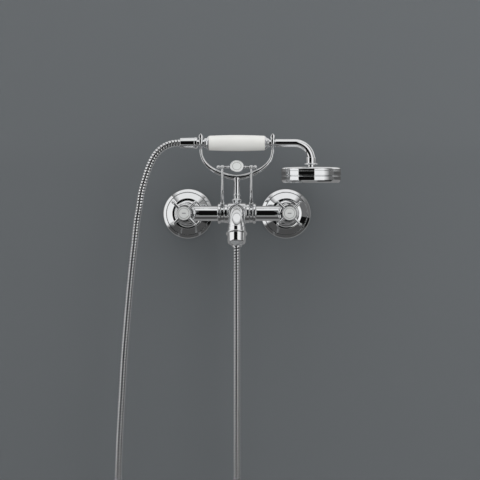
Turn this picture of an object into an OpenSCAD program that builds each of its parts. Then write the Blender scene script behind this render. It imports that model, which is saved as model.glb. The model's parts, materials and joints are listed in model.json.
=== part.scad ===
// Exposed two-handle bath shower mixer with a hand shower resting in a cradle.
// Origin: middle of the two wall inlets, on the wall face. +X right, +Y into the wall, +Z up.
// The front of the mixer faces -Y. Sizes are in millimetres.

/* [Wall inlets] */
// Distance between the two wall inlets
inlet_spacing = 150; // [146:1:170]
// Outside diameter of the thread that screws into the wall
inlet_thread_d = 20.96; // [18:0.01:22]
// Length of the thread in the wall
inlet_thread_l = 22; // [15:1:35]
// Crank of the S-shaped unions
union_offset = 6; // [2:0.5:8]
// Outside diameter of the union thread on the mixer side
union_thread_d = 26.44; // [25:0.01:28]
// Water way through the unions
union_bore = 13; // [10:0.5:14]
// Wall face to the front end of the unions
union_l = 30; // [28:0.5:36]
// Thickness of the flat union gaskets
gasket_t = 2; // [1.5:0.1:3]
// Width across the flats of the union nuts
union_nut_af = 32; // [32:0.5:36]
// Thickness of the nut's inward lip
union_nut_lip = 2.5; // [2:0.1:3]

/* [Rosettes] */
// Diameter of a wall rosette
rosette_d = 76; // [70:1:84]
// Height of a rosette above the wall
rosette_h = 21; // [18:0.5:24]
// Width of the flat rim outside the groove
rosette_rim = 5; // [4:0.5:7]
// Thickness of the rosette's wall
rosette_wall = 1.6; // [1.2:0.1:2]
// Diameter of the rosette's neck
rosette_neck_d = 31; // [30:0.5:34]

/* [Body] */
// Wall face to the axis of the body tube
body_depth = 58; // [57:1:70]
// Diameter of the body tube
tube_d = 22; // [20:0.5:23]
// Water way through the body tube
tube_bore = 15; // [14:0.5:15.5]
// Diameter of the valve housings
housing_d = 31; // [29:0.5:34]
// Housing from the tube axis back to its rear face
housing_back = 15; // [14:0.5:16]
// Housing from the tube axis out to its front face
housing_front = 17; // [16:0.5:20]
// Diameter of the inlet tail behind a housing
tail_d = 21; // [20:0.5:22]
// Thickness of the collar on the inlet tail
tail_flange_t = 2.5; // [2:0.1:3]
// Diameter of the flange at the inner end of a tube
flange_d = 29.5; // [28:0.5:32]
// Thickness of that flange
flange_t = 4; // [3:0.5:5]
// Diameter of the centre drum
drum_d = 31; // [30:0.5:34]
// Half length of the centre drum
drum_half = 18.3; // [17:0.1:20]
// Diameter of the boss that carries the spout and the column
boss_d = 25; // [24:0.5:27]
// Tube axis to the front face of that boss
boss_out = 18; // [17.5:0.5:20]

/* [Valves] */
// Diameter of the valve chamber
chamber_d = 19; // [18:0.5:20]
// Diameter of the ceramic discs
disc_d = 13; // [12:0.5:14]
// Thickness of a ceramic disc
disc_t = 2.4; // [2:0.1:2.8]
// Diameter of the valve spindle
spindle_d = 8; // [7:0.5:9]
// Side of the square spindle end
spindle_square = 5.5; // [5:0.1:6]
// Diameter of the bonnet at its base
bonnet_d = 27; // [26:0.5:30]
// Length of the bonnet
bonnet_l = 12.5; // [11:0.5:14]

/* [Cross handles] */
// Diameter of the hub's face
hub_d = 21; // [19:0.5:24]
// Length of the hub
hub_l = 21.5; // [20:0.5:24]
// Centre of the hub to the tip of a spoke
spoke_reach = 25; // [20:0.5:28]
// Diameter of a spoke
spoke_d = 4.4; // [3:0.1:5]
// Number of spokes
spoke_count = 4; // [3:1:6]
// Width of the hub's rim round the index plate
hub_rim = 0.9; // [0.6:0.1:1.5]
// Thickness of the index plate
index_t = 2; // [1.5:0.1:2.5]

/* [Spout] */
// Diameter of the spout tube
spout_d = 23.6; // [22:0.2:24]
// Water way through the spout
spout_bore = 18; // [16:0.5:19]
// Body axis to the start of the bend
spout_run = 46; // [40:1:90]
// Radius of the bend
spout_bend_r = 34; // [28:1:40]
// Angle of the bend, in degrees
spout_bend = 69; // [55:1:85]
// Diameter of the aerator's flange
aerator_flange_d = 29.5; // [28:0.5:32]
// Diameter of the aerator housing
aerator_d = 25.6; // [25:0.2:27]
// Length of the aerator housing
aerator_l = 15; // [14:0.5:18]

/* [Diverter bail] */
// Centre to centre of the two rods
rod_spacing = 42; // [41:0.5:44]
// Rod diameter at the collar
rod_foot_d = 4.6; // [4:0.1:5]
// Rod diameter at the cross bar
rod_top_d = 3.2; // [2.8:0.1:3.6]
// Forward lean of a rod where it leaves its collar, in degrees
rod_lean = 35; // [32:1:40]
// Backward lean of a rod at the cross bar, in degrees
rod_top_lean = 20; // [14:1:24]
// Height of the cross bar above the body axis
bar_height = 67; // [66:0.5:74]
// Diameter of the cross bar
bar_d = 3; // [2.6:0.1:3.2]
// Diameter of the collars
collar_d = 26.5; // [26:0.5:29]
// Width of a collar along the tube
collar_w = 4.8; // [4.4:0.1:5]
// Swing of the bail from spout to hand shower, in degrees
bail_travel = 45; // [40:1:45]
// Diameter of the knob disc
knob_d = 20; // [17:0.5:22]
// Upward tilt of the knob's face, in degrees
knob_tilt = 28; // [15:1:40]

/* [Cradle] */
// Body axis forward to the column
column_out = 12.8; // [12.6:0.1:13.4]
// Diameter of the column
column_d = 8.5; // [8:0.5:10]
// Height of the bottom of the cradle's curve without its dip
cradle_height = 54.5; // [52:0.5:58]
// Dip of the cradle's curve at the column
cradle_dip = 2.2; // [0:0.1:3]
// Clear space between the longer ferrule and its fork
fork_clear = 1.7; // [1.4:0.1:3]
// Length of the slim stem below a fork
fork_stem = 1.5; // [1:0.1:3]
// Arm diameter at the column
arm_foot_d = 7.4; // [6:0.1:8]
// Arm diameter below the fork
arm_top_d = 4; // [3.6:0.1:5.4]
// Fork prongs above the hand shower's axis
prong_rise = 13.5; // [12:0.5:18]
// Thickness of a prong
prong_t = 3; // [2.5:0.1:3.5]
// Greatest width of a prong
prong_w = 5.8; // [5:0.1:6.4]

/* [Hand shower] */
// Height of the hand shower's axis above the body axis
handset_height = 102.5; // [101.5:0.5:108]
// Roll of the hand shower about its own axis, in degrees
handset_roll = 2.5; // [-5:0.5:5]
// Diameter of the neck that lies in the forks
neck_d = 9.5; // [9:0.1:10]
// Water way through the hand shower
handset_bore = 6.4; // [5:0.2:7]
// Length of the porcelain grip
grip_l = 81.4; // [70:0.2:83]
// Diameter of the grip in the middle
grip_mid_d = 23.5; // [22:0.5:26]
// Diameter of the grip at its ends
grip_end_d = 21.4; // [20:0.2:21.6]
// Diameter of the tube beyond the forks
stem_d = 11.4; // [10.6:0.2:12]
// Radius of the bend towards the head
stem_bend_r = 24; // [21:0.5:26]
// Straight run of the tube between its fork and the bend
stem_run = 28.1; // [24:0.1:40]
// Diameter of the head
head_d = 86.5; // [80:0.5:94]
// Height of the head
head_h = 23.4; // [22:0.2:26]
// Wall of the head
head_wall = 1.8; // [1.4:0.1:2.4]
// Diameter of the collar above the head
head_collar_d = 13.4; // [13:0.2:15]
// Rim of the head round the spray plate
spray_rim = 5.25; // [5.25:0.25:9]
// Rings of spray nozzles
nozzle_rings = 5; // [3:1:5]

/* [Hose] */
// Outside diameter of the hose over its ribs
hose_d = 10; // [9:0.5:11]
// Bore of the hose
hose_bore = 6; // [5:0.5:6]
// Number of ribs that are modelled
hose_ribs = 200; // [60:10:200]
// Thread of the hose nuts
hose_thread_d = 12; // [11.4:0.2:12.4]
// Length of a hose nut
hose_nut_l = 24.8; // [22:0.2:28]
// Diameter of a hose nut at its open end
hose_nut_d = 16.4; // [16:0.2:18]
// Diameter of a hose nut at the hose
hose_nut_tip_d = 14.6; // [13:0.2:16]

/* [Hidden] */
// Running fit of turning pieces, radial
running_fit = 0.05;
// Slip fit of pieces that are put together once, radial
slip_fit = 0.1;
// Gap between neighbouring moving pieces
free_gap = 0.4;
// Gap under the hand shower's neck in its forks
neck_gap = 0.3;
// Number of sides of a drawn circle
fine = 96;
// Number of sides of a long flat arc
flat_arc_fine = 720;
// Thin overlap that keeps cuts clean
over = 1;
// Clear space that the union nut keeps from its neighbours
nut_gap = 0.5;

// Places along the wall inlets, as depths out from the wall
inlet_x = inlet_spacing / 2;
union_root_l = 9;
union_step_l = 3;
tail_face = union_l + gasket_t;
tail_front = tail_face + tail_flange_t;
tail_flange_d = union_thread_d - 0.6;
union_nut_front = tail_front + slip_fit + union_nut_lip;
housing_rear = body_depth - housing_back;
housing_face = body_depth + housing_front;

// Places in the valves, as depths out from the wall
seat_depth = body_depth - 7;
seat_seal_t = 2.4;
seat_d = 12;
check_bore = 14;
check_front = housing_rear + 3;
cage_face = seat_depth + seat_seal_t;
fixed_disc_face = cage_face + slip_fit;
moving_disc_face = fixed_disc_face + disc_t + slip_fit;
spindle_foot = moving_disc_face + disc_t + slip_fit;
spindle_foot_t = 2.4;
gland_face = spindle_foot + spindle_foot_t + 0.2;
cage_d = chamber_d - 2.6;
headwork_flange_d = 21.6;
headwork_flange_t = 3;
headwork_neck_d = 14.6;
bonnet_face = housing_face + bonnet_l;
bonnet_wall = 1.6;
gland_top = bonnet_face - 1.5;
hub_rear = bonnet_face + free_gap;
hub_face = hub_rear + hub_l;
spindle_end = hub_rear + hub_l * 0.5;
socket_end = spindle_end + 0.3;
hub_web = 3;
screw_seat = socket_end + hub_web;
index_seat = hub_face - index_t - 0.2;
index_plate_d = hub_d - 2 * hub_rim;
screw_d = 4;
screw_head_d = 7;
screw_head_t = index_seat - screw_seat - 0.4;
spoke_depth = hub_rear + hub_l * 0.52;

// Places along the body tube, measured from the middle
collar_inner = drum_half + free_gap;
collar_outer = collar_inner + collar_w;
flange_inner = collar_outer + free_gap;
flange_outer = flange_inner + flange_t;
collar_mid = (collar_inner + collar_outer) / 2;
spigot_end = 12.2;
journal_d = tube_bore + 5.8;
rotor_d = tube_bore - 2 * running_fit;
rotor_bore = 9.6;
rotor_half = flange_outer - 1;
rotor_seal_t = 1.6;
rotor_seal_x = [collar_inner - 0.9, collar_outer + 0.9];
drive_pin_d = 2.4;
port_half_angle = 21;
port_spare = 1;
port_half_w = 7;
port_h = rotor_d * sin(port_half_angle);

// The bail: each rod is an arc that bows forward, drawn in the plane across the tube
boss_reach = 19;
boss_hole = 2.6;
boss_neck = max(flange_d, drum_d) / 2 + free_gap;
rod_x = rod_spacing / 2;
rod_start = boss_reach * [sin(rod_lean), cos(rod_lean)];
rod_r = (bar_height - rod_start[1]) / (sin(rod_lean) + sin(rod_top_lean));
rod_socket = 1.4;
bar_out = rod_start[0] + rod_r * (cos(rod_top_lean) - cos(rod_lean));
bar_half = rod_x + 8.6;
rod_ball_d = 6.4;
end_ball_d = 5.8;
knob_off = 2;
knob_t = 3;
knob_rim = 1.1;
knob_plate_t = 0.9;

// The column and its foot, as heights above the body axis
foot_top = 28.5;
foot_stud_d = 5.6;
foot_stud_l = 2.8;
column_tenon = 4.5;
column_tenon_d = column_d - 2;
fork_r = neck_d / 2 + neck_gap;
arm_top = handset_height - fork_r - prong_t - fork_stem;
arm_rise = arm_top - cradle_height;
arm_straight = 2;
cradle_low = cradle_height - cradle_dip;
spout_tail_d = 17;
spout_tail_l = 6;
spout_ring_d = 27;
spout_ring_t = 2.6;
spout_tip_d = 25;
spout_tip_t = 6;
tip_bore = spout_bore - 1;
aerator_thread_d = 20.6;
aerator_thread_l = 7;

// The hand shower, measured from the middle of its grip
grip_half = grip_l / 2;
ferrule_l = 7;
head_ferrule_l = 7;
ferrule_d = 20.2;
fork_x = grip_half + head_ferrule_l + fork_clear + prong_w / 2;
hose_nut_open_x = fork_x + prong_w / 2 + 2.6;
tenon_end = hose_nut_open_x + 12.2;
stem_start = fork_x + prong_w / 2 + 1.2;
bend_start = stem_start + stem_run;
head_x = bend_start + stem_bend_r;
collar_lap = 3.5;
collar_top = stem_bend_r - collar_lap;
head_collar_h = 9.4;
head_flange_d = 19.7;
head_flange_t = 1.4;
head_neck_d = 11;
head_neck_h = 3;
head_top = collar_top + head_collar_h + head_flange_t + head_neck_h;
head_bottom = head_top + head_h;
spray_plate_d = head_d - 2 * spray_rim;
spray_plate_t = 2.4;
spray_recess = 1.6;
nozzle_d = 2.2;
nozzle_proud = 1.2;
nozzle_pad_t = 1.6;

// The hose outlet under the body, as depths below the body axis
outlet_boss_d = 19;
outlet_boss_l = 18.5;
outlet_tenon_d = 13.6;
outlet_tenon_l = 6.4;
outlet_hex_d = 18.5;
outlet_hex_l = 4;
outlet_bore = 8;
outlet_thread_end = outlet_boss_l + outlet_hex_l + 13;
washer_t = 1.8;
washer_bore = 7;
outlet_nut_open = outlet_boss_l + outlet_hex_l + 2;
hose_nut_end_x = hose_nut_open_x + hose_nut_l;
outlet_nut_end = outlet_nut_open + hose_nut_l;
hose_socket = 4;
hose_in = hose_socket - free_gap;

// The hose route from the hand shower round to the outlet, from the body axis
hose_start = [-hose_nut_end_x + hose_in, -column_out, handset_height];
hose_finish = [0, 0, -outlet_nut_end + hose_in];
hose_route = [
    hose_start,
    hose_start - [hose_in + hose_d, 0, 0],
    [-104, -13, 100],
    [-114, -13, 91],
    [-122, -13, 79],
    [-129, -13, 65],
    [-134, -13, 49],
    [-139, -13, 31],
    [-142, -13, 11],
    [-146, -12, -13],
    [-149, -12, -41],
    [-153, -11, -75],
    [-157, -10, -115],
    [-161, -9, -160],
    [-165, -8, -210],
    [-168, -7, -260],
    [-171, -6, -310],
    [-173, -6, -355],
    [-174, -5, -395],
    [-172, -4, -430],
    [-165, -4, -461],
    [-151, -3, -489],
    [-129, -2, -510],
    [-103, -2, -522],
    [-76, -1, -523],
    [-49, -1, -514],
    [-26, 0, -495],
    [-11, 0, -468],
    [-3, 0, -437],
    [0, 0, -400],
    [0, 0, -350],
    [0, 0, -290],
    [0, 0, -220],
    [0, 0, -150],
    [0, 0, -100],
    hose_finish - [0, 0, hose_in + hose_d],
    hose_finish
];
hose_valley_d = hose_d - 1.6;
hose_sides = 8;
bore_rings = 100;
route_steps = 10;

// Puts children at the middle of the body tube
module at_body() translate([0, -body_depth, union_offset]) children();

// Turns a local +Z axis so that it points along +X
module along_x() rotate([0, 90, 0]) children();

// Turns a local +Z axis so that it points out of the wall, from the wall face of one inlet
module out_of_wall(side, height = union_offset)
    translate([side * inlet_x, 0, height]) rotate([90, 0, 0]) children();

// Puts children on the hand shower's axis, in the middle of its grip
module at_handset()
    translate([0, -body_depth - column_out, union_offset + handset_height])
        rotate([handset_roll, 0, 0]) children();

// Puts children at the end of the spout, with local +Z pointing back up the spout
module at_spout_tip()
    at_body() translate([0, -spout_run, -spout_bend_r]) rotate([spout_bend, 0, 0])
        translate([0, 0, spout_bend_r]) rotate([-90, 0, 0]) children();

// Turned piece: the profile's points are [radius, place along the axis]
module turned(profile) rotate_extrude($fn = fine) polygon(profile);

// Plain turned ring
module ring(outer, inner, from, to) {
    turned([[inner, from], [outer, from], [outer, to], [inner, to]]);
}

// Plain round bar
module bar(d, from, to) translate([0, 0, from]) cylinder(d = d, h = to - from, $fn = fine);

// Ring sector round the local Z axis, for slots and ports
module sector(inner, outer, from, to, start, angle) {
    rotate([0, 0, start]) rotate_extrude(angle = angle, $fn = fine)
        polygon([[inner, from], [outer, from], [outer, to], [inner, to]]);
}

// Unit vector
function unit(v) = v / norm(v);

// One ring of points of a swept tube
function ring_points(centre, tangent, aside, r, sides) =
    let (n = unit(aside - (aside * tangent) * tangent), b = cross(tangent, n))
    [for (k = [0 : sides - 1]) centre + r * (cos(360 * k / sides) * n + sin(360 * k / sides) * b)];

// Tangent of a path at one of its points
function tangent(path, i) = unit(path[min(i + 1, len(path) - 1)] - path[max(i - 1, 0)]);

// Triangles of the side wall between rings that start at the given point
function wall_faces(first, rings, sides, outward) = [
    for (i = [0 : rings - 2], k = [0 : sides - 1])
        let (a = first + i * sides + k, b = first + i * sides + (k + 1) % sides)
        each outward ? [[a, b, b + sides], [a, b + sides, a + sides]]
            : [[a, b + sides, b], [a, a + sides, b + sides]]
];

// Solid swept round bar that changes its radius along a path
module swept_bar(path, radii, aside, sides) {
    last = len(path) - 1;
    points = [for (i = [0 : last]) each ring_points(path[i], tangent(path, i), aside, radii[i], sides)];
    caps = [
        for (k = [1 : sides - 2]) each [
            [0, k + 1, k],
            [last * sides, last * sides + k, last * sides + k + 1]
        ]
    ];
    polyhedron(points, concat(wall_faces(0, last + 1, sides, true), caps));
}

// S-shaped union: threaded into the wall, cranked to the mixer's axis
module s_union(side) color("silver") {
    difference() {
        union() {
            out_of_wall(side, 0) bar(inlet_thread_d, -inlet_thread_l, union_step_l);
            out_of_wall(side, 0) bar(union_thread_d, 0, union_root_l);
            out_of_wall(side) bar(union_thread_d, union_step_l, union_l);
        }
        out_of_wall(side, 0) bar(union_bore, -inlet_thread_l - over, union_root_l - union_step_l);
        out_of_wall(side) bar(union_bore, union_step_l, union_l + over);
    }
}

// Wall rosette: rim, groove, shallow dome and a neck that sweeps up to the union nut
module rosette(side) color("gainsboro") out_of_wall(side) {
    r = rosette_d / 2;
    neck_r = rosette_neck_d / 2;
    bore_r = union_thread_d / 2 + slip_fit;
    groove_r = r - rosette_rim;
    dome_foot = 5.4;
    dome_top = 12;
    sweep_r = rosette_h - 2 - dome_top;
    dome_top_r = neck_r + sweep_r;
    turned([
        [bore_r, rosette_h], [neck_r, rosette_h], [neck_r, dome_top], [dome_top_r, dome_top],
        [groove_r - 5, dome_foot + 3.4], [groove_r - 0.8, dome_foot], [groove_r - 0.8, dome_foot - 1],
        [groove_r, dome_foot - 1], [groove_r, dome_foot - 0.4], [r - 1, 2.4], [r, 1.4], [r, 0],
        [r - rosette_wall, 0], [r - rosette_wall, 1], [groove_r - 1, dome_foot - 1 - rosette_wall],
        [groove_r - 5, dome_foot + 3.4 - rosette_wall], [dome_top_r, dome_top - rosette_wall],
        [bore_r, dome_top - rosette_wall]
    ]);
    rotate_extrude($fn = fine) difference() {
        translate([neck_r - 0.2, dome_top - 0.4]) square([sweep_r + 0.2, sweep_r + 0.4]);
        translate([neck_r + sweep_r, dome_top + sweep_r]) circle(sweep_r, $fn = fine);
    }
}

// Hexagon union nut with a turned collar and an inward lip that draws the inlet tail up
module union_nut(side) color("silver") out_of_wall(side) {
    rear = rosette_h + nut_gap;
    corner_r = union_nut_af / sqrt(3);
    difference() {
        intersection() {
            translate([0, 0, rear]) cylinder(r = corner_r, h = union_nut_front - rear, $fn = 6);
            turned([
                [0, rear], [corner_r - 1.8, rear], [corner_r, rear + 1.4],
                [corner_r, union_nut_front - 1.4], [corner_r - 1.8, union_nut_front], [0, union_nut_front]
            ]);
        }
        bar(union_thread_d + 2 * slip_fit, rear - over, tail_front + slip_fit);
        bar(tail_d + 2 * slip_fit, rear, union_nut_front + over);
    }
}

// Flat gaskets between the unions and the inlet tails
module union_gaskets() color("dimgray") {
    for (side = [-1, 1]) {
        out_of_wall(side) ring(union_thread_d / 2 - 1, union_bore / 2 + 0.4, union_l, tail_face);
    }
}

// Non-return cartridges pushed into the inlet tails
module check_valves() color("white") {
    outer_r = check_bore / 2 - slip_fit;
    seat_r = outer_r - 1.8;
    hub_r = 2.6;
    web_t = 1.2;
    for (side = [-1, 1]) out_of_wall(side) {
        ring(outer_r, seat_r, tail_face + 0.4, check_front - slip_fit);
        intersection() {
            bar(2 * outer_r - 1, tail_face + 3, check_front - 4);
            union() {
                bar(2 * hub_r, tail_face, check_front);
                for (a = [0, 60, 120]) rotate([0, 0, a])
                    translate([-outer_r, -web_t / 2, tail_face]) cube([2 * outer_r, web_t, housing_back]);
            }
        }
    }
}

// Right half of the body: inlet tail, valve housing, tube, flange and the journal of the bail
module arm() {
    difference() {
        union() {
            out_of_wall(1) turned([
                [0, tail_face], [tail_flange_d / 2, tail_face], [tail_flange_d / 2, tail_front],
                [tail_d / 2, tail_front], [tail_d / 2, housing_rear], [housing_d / 2 - 3, housing_rear],
                [housing_d / 2 - 0.9, housing_rear + 0.9], [housing_d / 2, housing_rear + 3],
                [housing_d / 2, housing_face - 2.4], [housing_d / 2 - 0.7, housing_face - 0.7],
                [housing_d / 2 - 2.4, housing_face], [0, housing_face]
            ]);
            at_body() along_x() {
                bar(tube_d, flange_outer - over, inlet_x);
                turned([
                    [0, flange_inner], [flange_d / 2 - 0.8, flange_inner], [flange_d / 2, flange_inner + 0.8],
                    [flange_d / 2, flange_outer - 1.2], [flange_d / 2 - 1.2, flange_outer], [0, flange_outer]
                ]);
                bar(journal_d, spigot_end, flange_inner + over);
            }
        }
        at_body() along_x() {
            bar(tube_bore, spigot_end - over, inlet_x);
            sector(
                tube_bore / 2 - over, journal_d / 2 + over,
                collar_mid - drive_pin_d / 2 - free_gap, collar_mid + drive_pin_d / 2 + free_gap,
                rod_lean - slot_margin(), bail_travel + 2 * slot_margin()
            );
        }
        out_of_wall(1) {
            bar(check_bore, tail_face - over, check_front);
            bar(seat_d, check_front - over, seat_depth + over);
            bar(chamber_d, seat_depth, housing_face + over);
        }
    }
}

// Angle that the slot reaches past the drive pin at each end of the swing
function slot_margin() = asin((drive_pin_d / 2 + free_gap) / (tube_bore / 2)) + 3;

module hot_arm() color("silver") mirror([1, 0, 0]) arm();
module cold_arm() color("silver") arm();

// Centre drum with the sockets of both tubes, the spout boss and the hose outlet boss
module centre_body() color("silver") at_body() {
    drum_r = drum_d / 2;
    end_r = drum_r - 1.6;
    groove_x = drum_half - 4.6;
    stud_hole = foot_stud_l + 0.4;
    difference() {
        union() {
            along_x() for (flip = [0, 1]) mirror([0, 0, flip]) turned([
                [0, 0], [drum_r, 0], [drum_r, groove_x - 1.8], [drum_r - 0.6, groove_x - 0.6],
                [end_r - 0.8, groove_x], [end_r, groove_x + 0.7],
                [end_r, drum_half - 0.8], [end_r - 0.8, drum_half], [0, drum_half]
            ]);
            rotate([90, 0, 0]) bar(boss_d, 0, boss_out);
            rotate([180, 0, 0]) turned([
                [0, 0], [outlet_boss_d / 2, 0], [outlet_boss_d / 2, outlet_boss_l - 0.8],
                [outlet_boss_d / 2 - 0.8, outlet_boss_l], [0, outlet_boss_l]
            ]);
        }
        along_x() bar(tube_bore, -drum_half - over, drum_half + over);
        for (flip = [0, 1]) mirror([flip, 0, 0]) along_x()
            bar(journal_d + 2 * slip_fit, spigot_end - slip_fit, drum_half + over);
        rotate([90, 0, 0])
            bar(spout_tail_d + 2 * slip_fit, boss_out - spout_tail_l - slip_fit, boss_out + over);
        rotate([180, 0, 0]) bar(
            outlet_tenon_d + 2 * slip_fit, outlet_boss_l - outlet_tenon_l - slip_fit, outlet_boss_l + over
        );
        translate([-port_half_w, -boss_out + 2, -port_h / 2]) cube([2 * port_half_w, boss_out - 2, port_h]);
        translate([-port_half_w / 2, -port_h / 2, -outlet_boss_l + 2])
            cube([port_half_w, port_h, outlet_boss_l - 2]);
        translate([0, -column_out, boss_d / 2 - stud_hole]) cylinder(
            d = foot_stud_d + 2 * slip_fit, h = stud_hole + over, $fn = fine
        );
    }
}

// Valve headwork: slim cage with side windows, screwed body, flange and gland neck
module headwork(side) color("goldenrod") out_of_wall(side) {
    difference() {
        union() {
            bar(cage_d, cage_face, gland_top);
            bar(chamber_d - 2 * slip_fit, housing_face - 8, housing_face + slip_fit);
            translate([0, 0, housing_face + slip_fit])
                cylinder(d = headwork_flange_d, h = headwork_flange_t, $fn = 6);
        }
        ring(
            cage_d, headwork_neck_d / 2,
            housing_face + slip_fit + headwork_flange_t, gland_top + over
        );
        bar(disc_d + 2 * slip_fit, cage_face - over, gland_face);
        bar(spindle_d + 2 * running_fit, gland_face - over, gland_top + over);
        translate([0, 0, body_depth]) along_x() bar(6, -chamber_d, chamber_d);
    }
}

// Rubber rings that seal the headworks on their seats
module seat_seals() color("dimgray") for (side = [-1, 1]) {
    out_of_wall(side) ring(cage_d / 2, seat_d / 2 - 1.6, seat_depth, cage_face);
}

// Ceramic disc with its two water ports
module ceramic_disc(from) {
    difference() {
        bar(disc_d, from, from + disc_t);
        for (turn = [0, 180]) sector(1.6, disc_d / 2 - 1.2, from - over, from + disc_t + over, turn, 78);
    }
}

module fixed_discs() color("whitesmoke") for (side = [-1, 1]) {
    out_of_wall(side) ceramic_disc(fixed_disc_face);
}

// The moving disc stands a quarter turn from the fixed one while the valve is shut
module moving_disc(side) color("whitesmoke") out_of_wall(side) rotate([0, 0, 90]) {
    ceramic_disc(moving_disc_face);
}

// Turned bonnet over the headwork, behind the handle
module bonnet(side) color("gray") out_of_wall(side) {
    r = bonnet_d / 2;
    lip = headwork_neck_d / 2 + slip_fit;
    turned([
        [r - bonnet_wall, housing_face], [r - 0.6, housing_face], [r, housing_face + 0.8],
        [r, housing_face + 3], [r - 0.9, housing_face + 3.8], [r - 0.9, housing_face + 5],
        [hub_d / 2 - 0.6, bonnet_face - 3], [hub_d / 2 - 0.6, bonnet_face], [lip, bonnet_face],
        [lip, bonnet_face - 3 - bonnet_wall], [headwork_flange_d / 2 + 0.4, housing_face + 5 - bonnet_wall],
        [headwork_flange_d / 2 + 0.4, housing_face + 3.4], [r - bonnet_wall, housing_face + 3]
    ]);
}

// Spindle: foot that carries the moving disc, round stem, square end for the handle
module spindle(side) color("goldenrod") out_of_wall(side) {
    difference() {
        union() {
            bar(disc_d - 2 * slip_fit, spindle_foot, spindle_foot + spindle_foot_t);
            bar(spindle_d, spindle_foot, hub_rear + 1);
            translate([-spindle_square / 2, -spindle_square / 2, hub_rear])
                cube([spindle_square, spindle_square, spindle_end - hub_rear]);
        }
        bar(screw_d - 0.6, spindle_end - 8, spindle_end + over);
    }
}

// Cross handle: hub with a moulded waist and round-ended spokes
module cross_handle(side) color("silver") out_of_wall(side) {
    r = hub_d / 2;
    waist = r - 1.6;
    socket = spindle_square + 2 * slip_fit;
    difference() {
        union() {
            turned([
                [0, hub_rear], [r - 1.4, hub_rear], [r - 0.6, hub_rear + 0.8], [r - 0.6, hub_rear + 3],
                [waist, hub_rear + 4.4], [waist, spoke_depth - 4], [r - 0.8, spoke_depth - 2.6],
                [r - 0.8, spoke_depth + 2.6], [waist, spoke_depth + 4], [waist, hub_face - 4.4],
                [r, hub_face - 2.8], [r, hub_face - 0.6], [r - 0.6, hub_face], [0, hub_face]
            ]);
            for (k = [0 : spoke_count - 1]) rotate([0, 0, 180 / spoke_count + k * 360 / spoke_count])
                translate([0, 0, spoke_depth]) along_x() spoke();
        }
        translate([-socket / 2, -socket / 2, hub_rear + 1]) cube([socket, socket, socket_end - hub_rear - 1]);
        bar(spindle_d + 2 * slip_fit, hub_rear - over, hub_rear + 1.2);
        bar(screw_d + 2 * slip_fit, hub_rear, hub_face);
        bar(screw_head_d + 2, screw_seat, hub_face);
        bar(index_plate_d + 2 * slip_fit, index_seat, hub_face + over);
    }
}

// One spoke along the local Z axis, with a small collar at its root and a ball at its tip
module spoke() {
    tip_r = spoke_d / 2 + 0.2;
    root = hub_d / 2 - 3;
    translate([0, 0, root]) cylinder(
        d1 = spoke_d + 0.5, d2 = spoke_d - 0.4, h = spoke_reach - tip_r - root, $fn = fine
    );
    translate([0, 0, hub_d / 2 - 1.2]) cylinder(d = spoke_d + 1.2, h = 1.8, $fn = fine);
    translate([0, 0, spoke_reach - tip_r]) sphere(tip_r, $fn = fine);
}

module handle_screw(side) color("silver") out_of_wall(side) {
    bar(screw_d - 0.8, spindle_end - 7, screw_seat + 0.2);
    difference() {
        bar(screw_head_d, screw_seat, screw_seat + screw_head_t);
        translate([0, 0, screw_seat + 0.5]) cylinder(d = 3.4, h = screw_head_t, $fn = 6);
    }
}

// Index plate let into the hub, with one ring line
module index_plate(side) color("ivory") out_of_wall(side) {
    line_r = index_plate_d / 2 * 0.78;
    difference() {
        bar(index_plate_d, index_seat, hub_face - 0.2);
        ring(line_r, line_r - 0.5, hub_face - 0.5, hub_face);
    }
}

// Spout: tail in the boss, root ring, straight run, bend and threaded tip
module spout() color("silver") {
    difference() {
        union() {
            at_body() rotate([90, 0, 0]) {
                bar(spout_tail_d, boss_out - spout_tail_l, boss_out + over);
                bar(spout_d, boss_out, spout_run);
                turned([
                    [0, boss_out], [spout_ring_d / 2 - 0.6, boss_out], [spout_ring_d / 2, boss_out + 0.6],
                    [spout_ring_d / 2, boss_out + spout_ring_t - 0.8],
                    [spout_ring_d / 2 - 0.8, boss_out + spout_ring_t], [0, boss_out + spout_ring_t]
                ]);
            }
            spout_elbow(spout_d);
            at_spout_tip() {
                bar(spout_tip_d, -spout_tip_t, over);
                bar(aerator_thread_d, -spout_tip_t - aerator_thread_l, -spout_tip_t + over);
            }
        }
        at_body() rotate([90, 0, 0]) {
            bar(spout_tail_d - 3, boss_out - spout_tail_l - over, boss_out + 3);
            bar(spout_bore, boss_out + 2, spout_run);
        }
        spout_elbow(spout_bore);
        at_spout_tip() bar(tip_bore, -spout_tip_t - aerator_thread_l - over, over);
    }
}

// The bend of the spout, as a round bar
module spout_elbow(d) {
    at_body() translate([0, -spout_run, -spout_bend_r]) rotate([0, 90, 0]) rotate([0, 0, 180])
        rotate_extrude(angle = spout_bend, $fn = fine) translate([spout_bend_r, 0]) circle(d = d, $fn = fine);
}

// Aerator housing screwed onto the spout, with a flange at the top and an inward lip at the mouth
module aerator_housing() color("silver") at_spout_tip() {
    top = -spout_tip_t - slip_fit;
    bore = aerator_thread_d / 2 + slip_fit;
    lip = bore - 1.4;
    r = aerator_d / 2;
    turned([
        [bore, top], [aerator_flange_d / 2 - 0.6, top], [aerator_flange_d / 2, top - 0.6],
        [aerator_flange_d / 2, top - 1.4], [r, top - 2.4], [r, top - 3.4], [r - 0.6, top - aerator_l + 1.2],
        [r - 1.4, top - aerator_l], [lip + 0.8, top - aerator_l], [lip, top - aerator_l + 0.8],
        [lip, top - aerator_l + 1.6], [bore, top - aerator_l + 1.6]
    ]);
}

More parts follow.
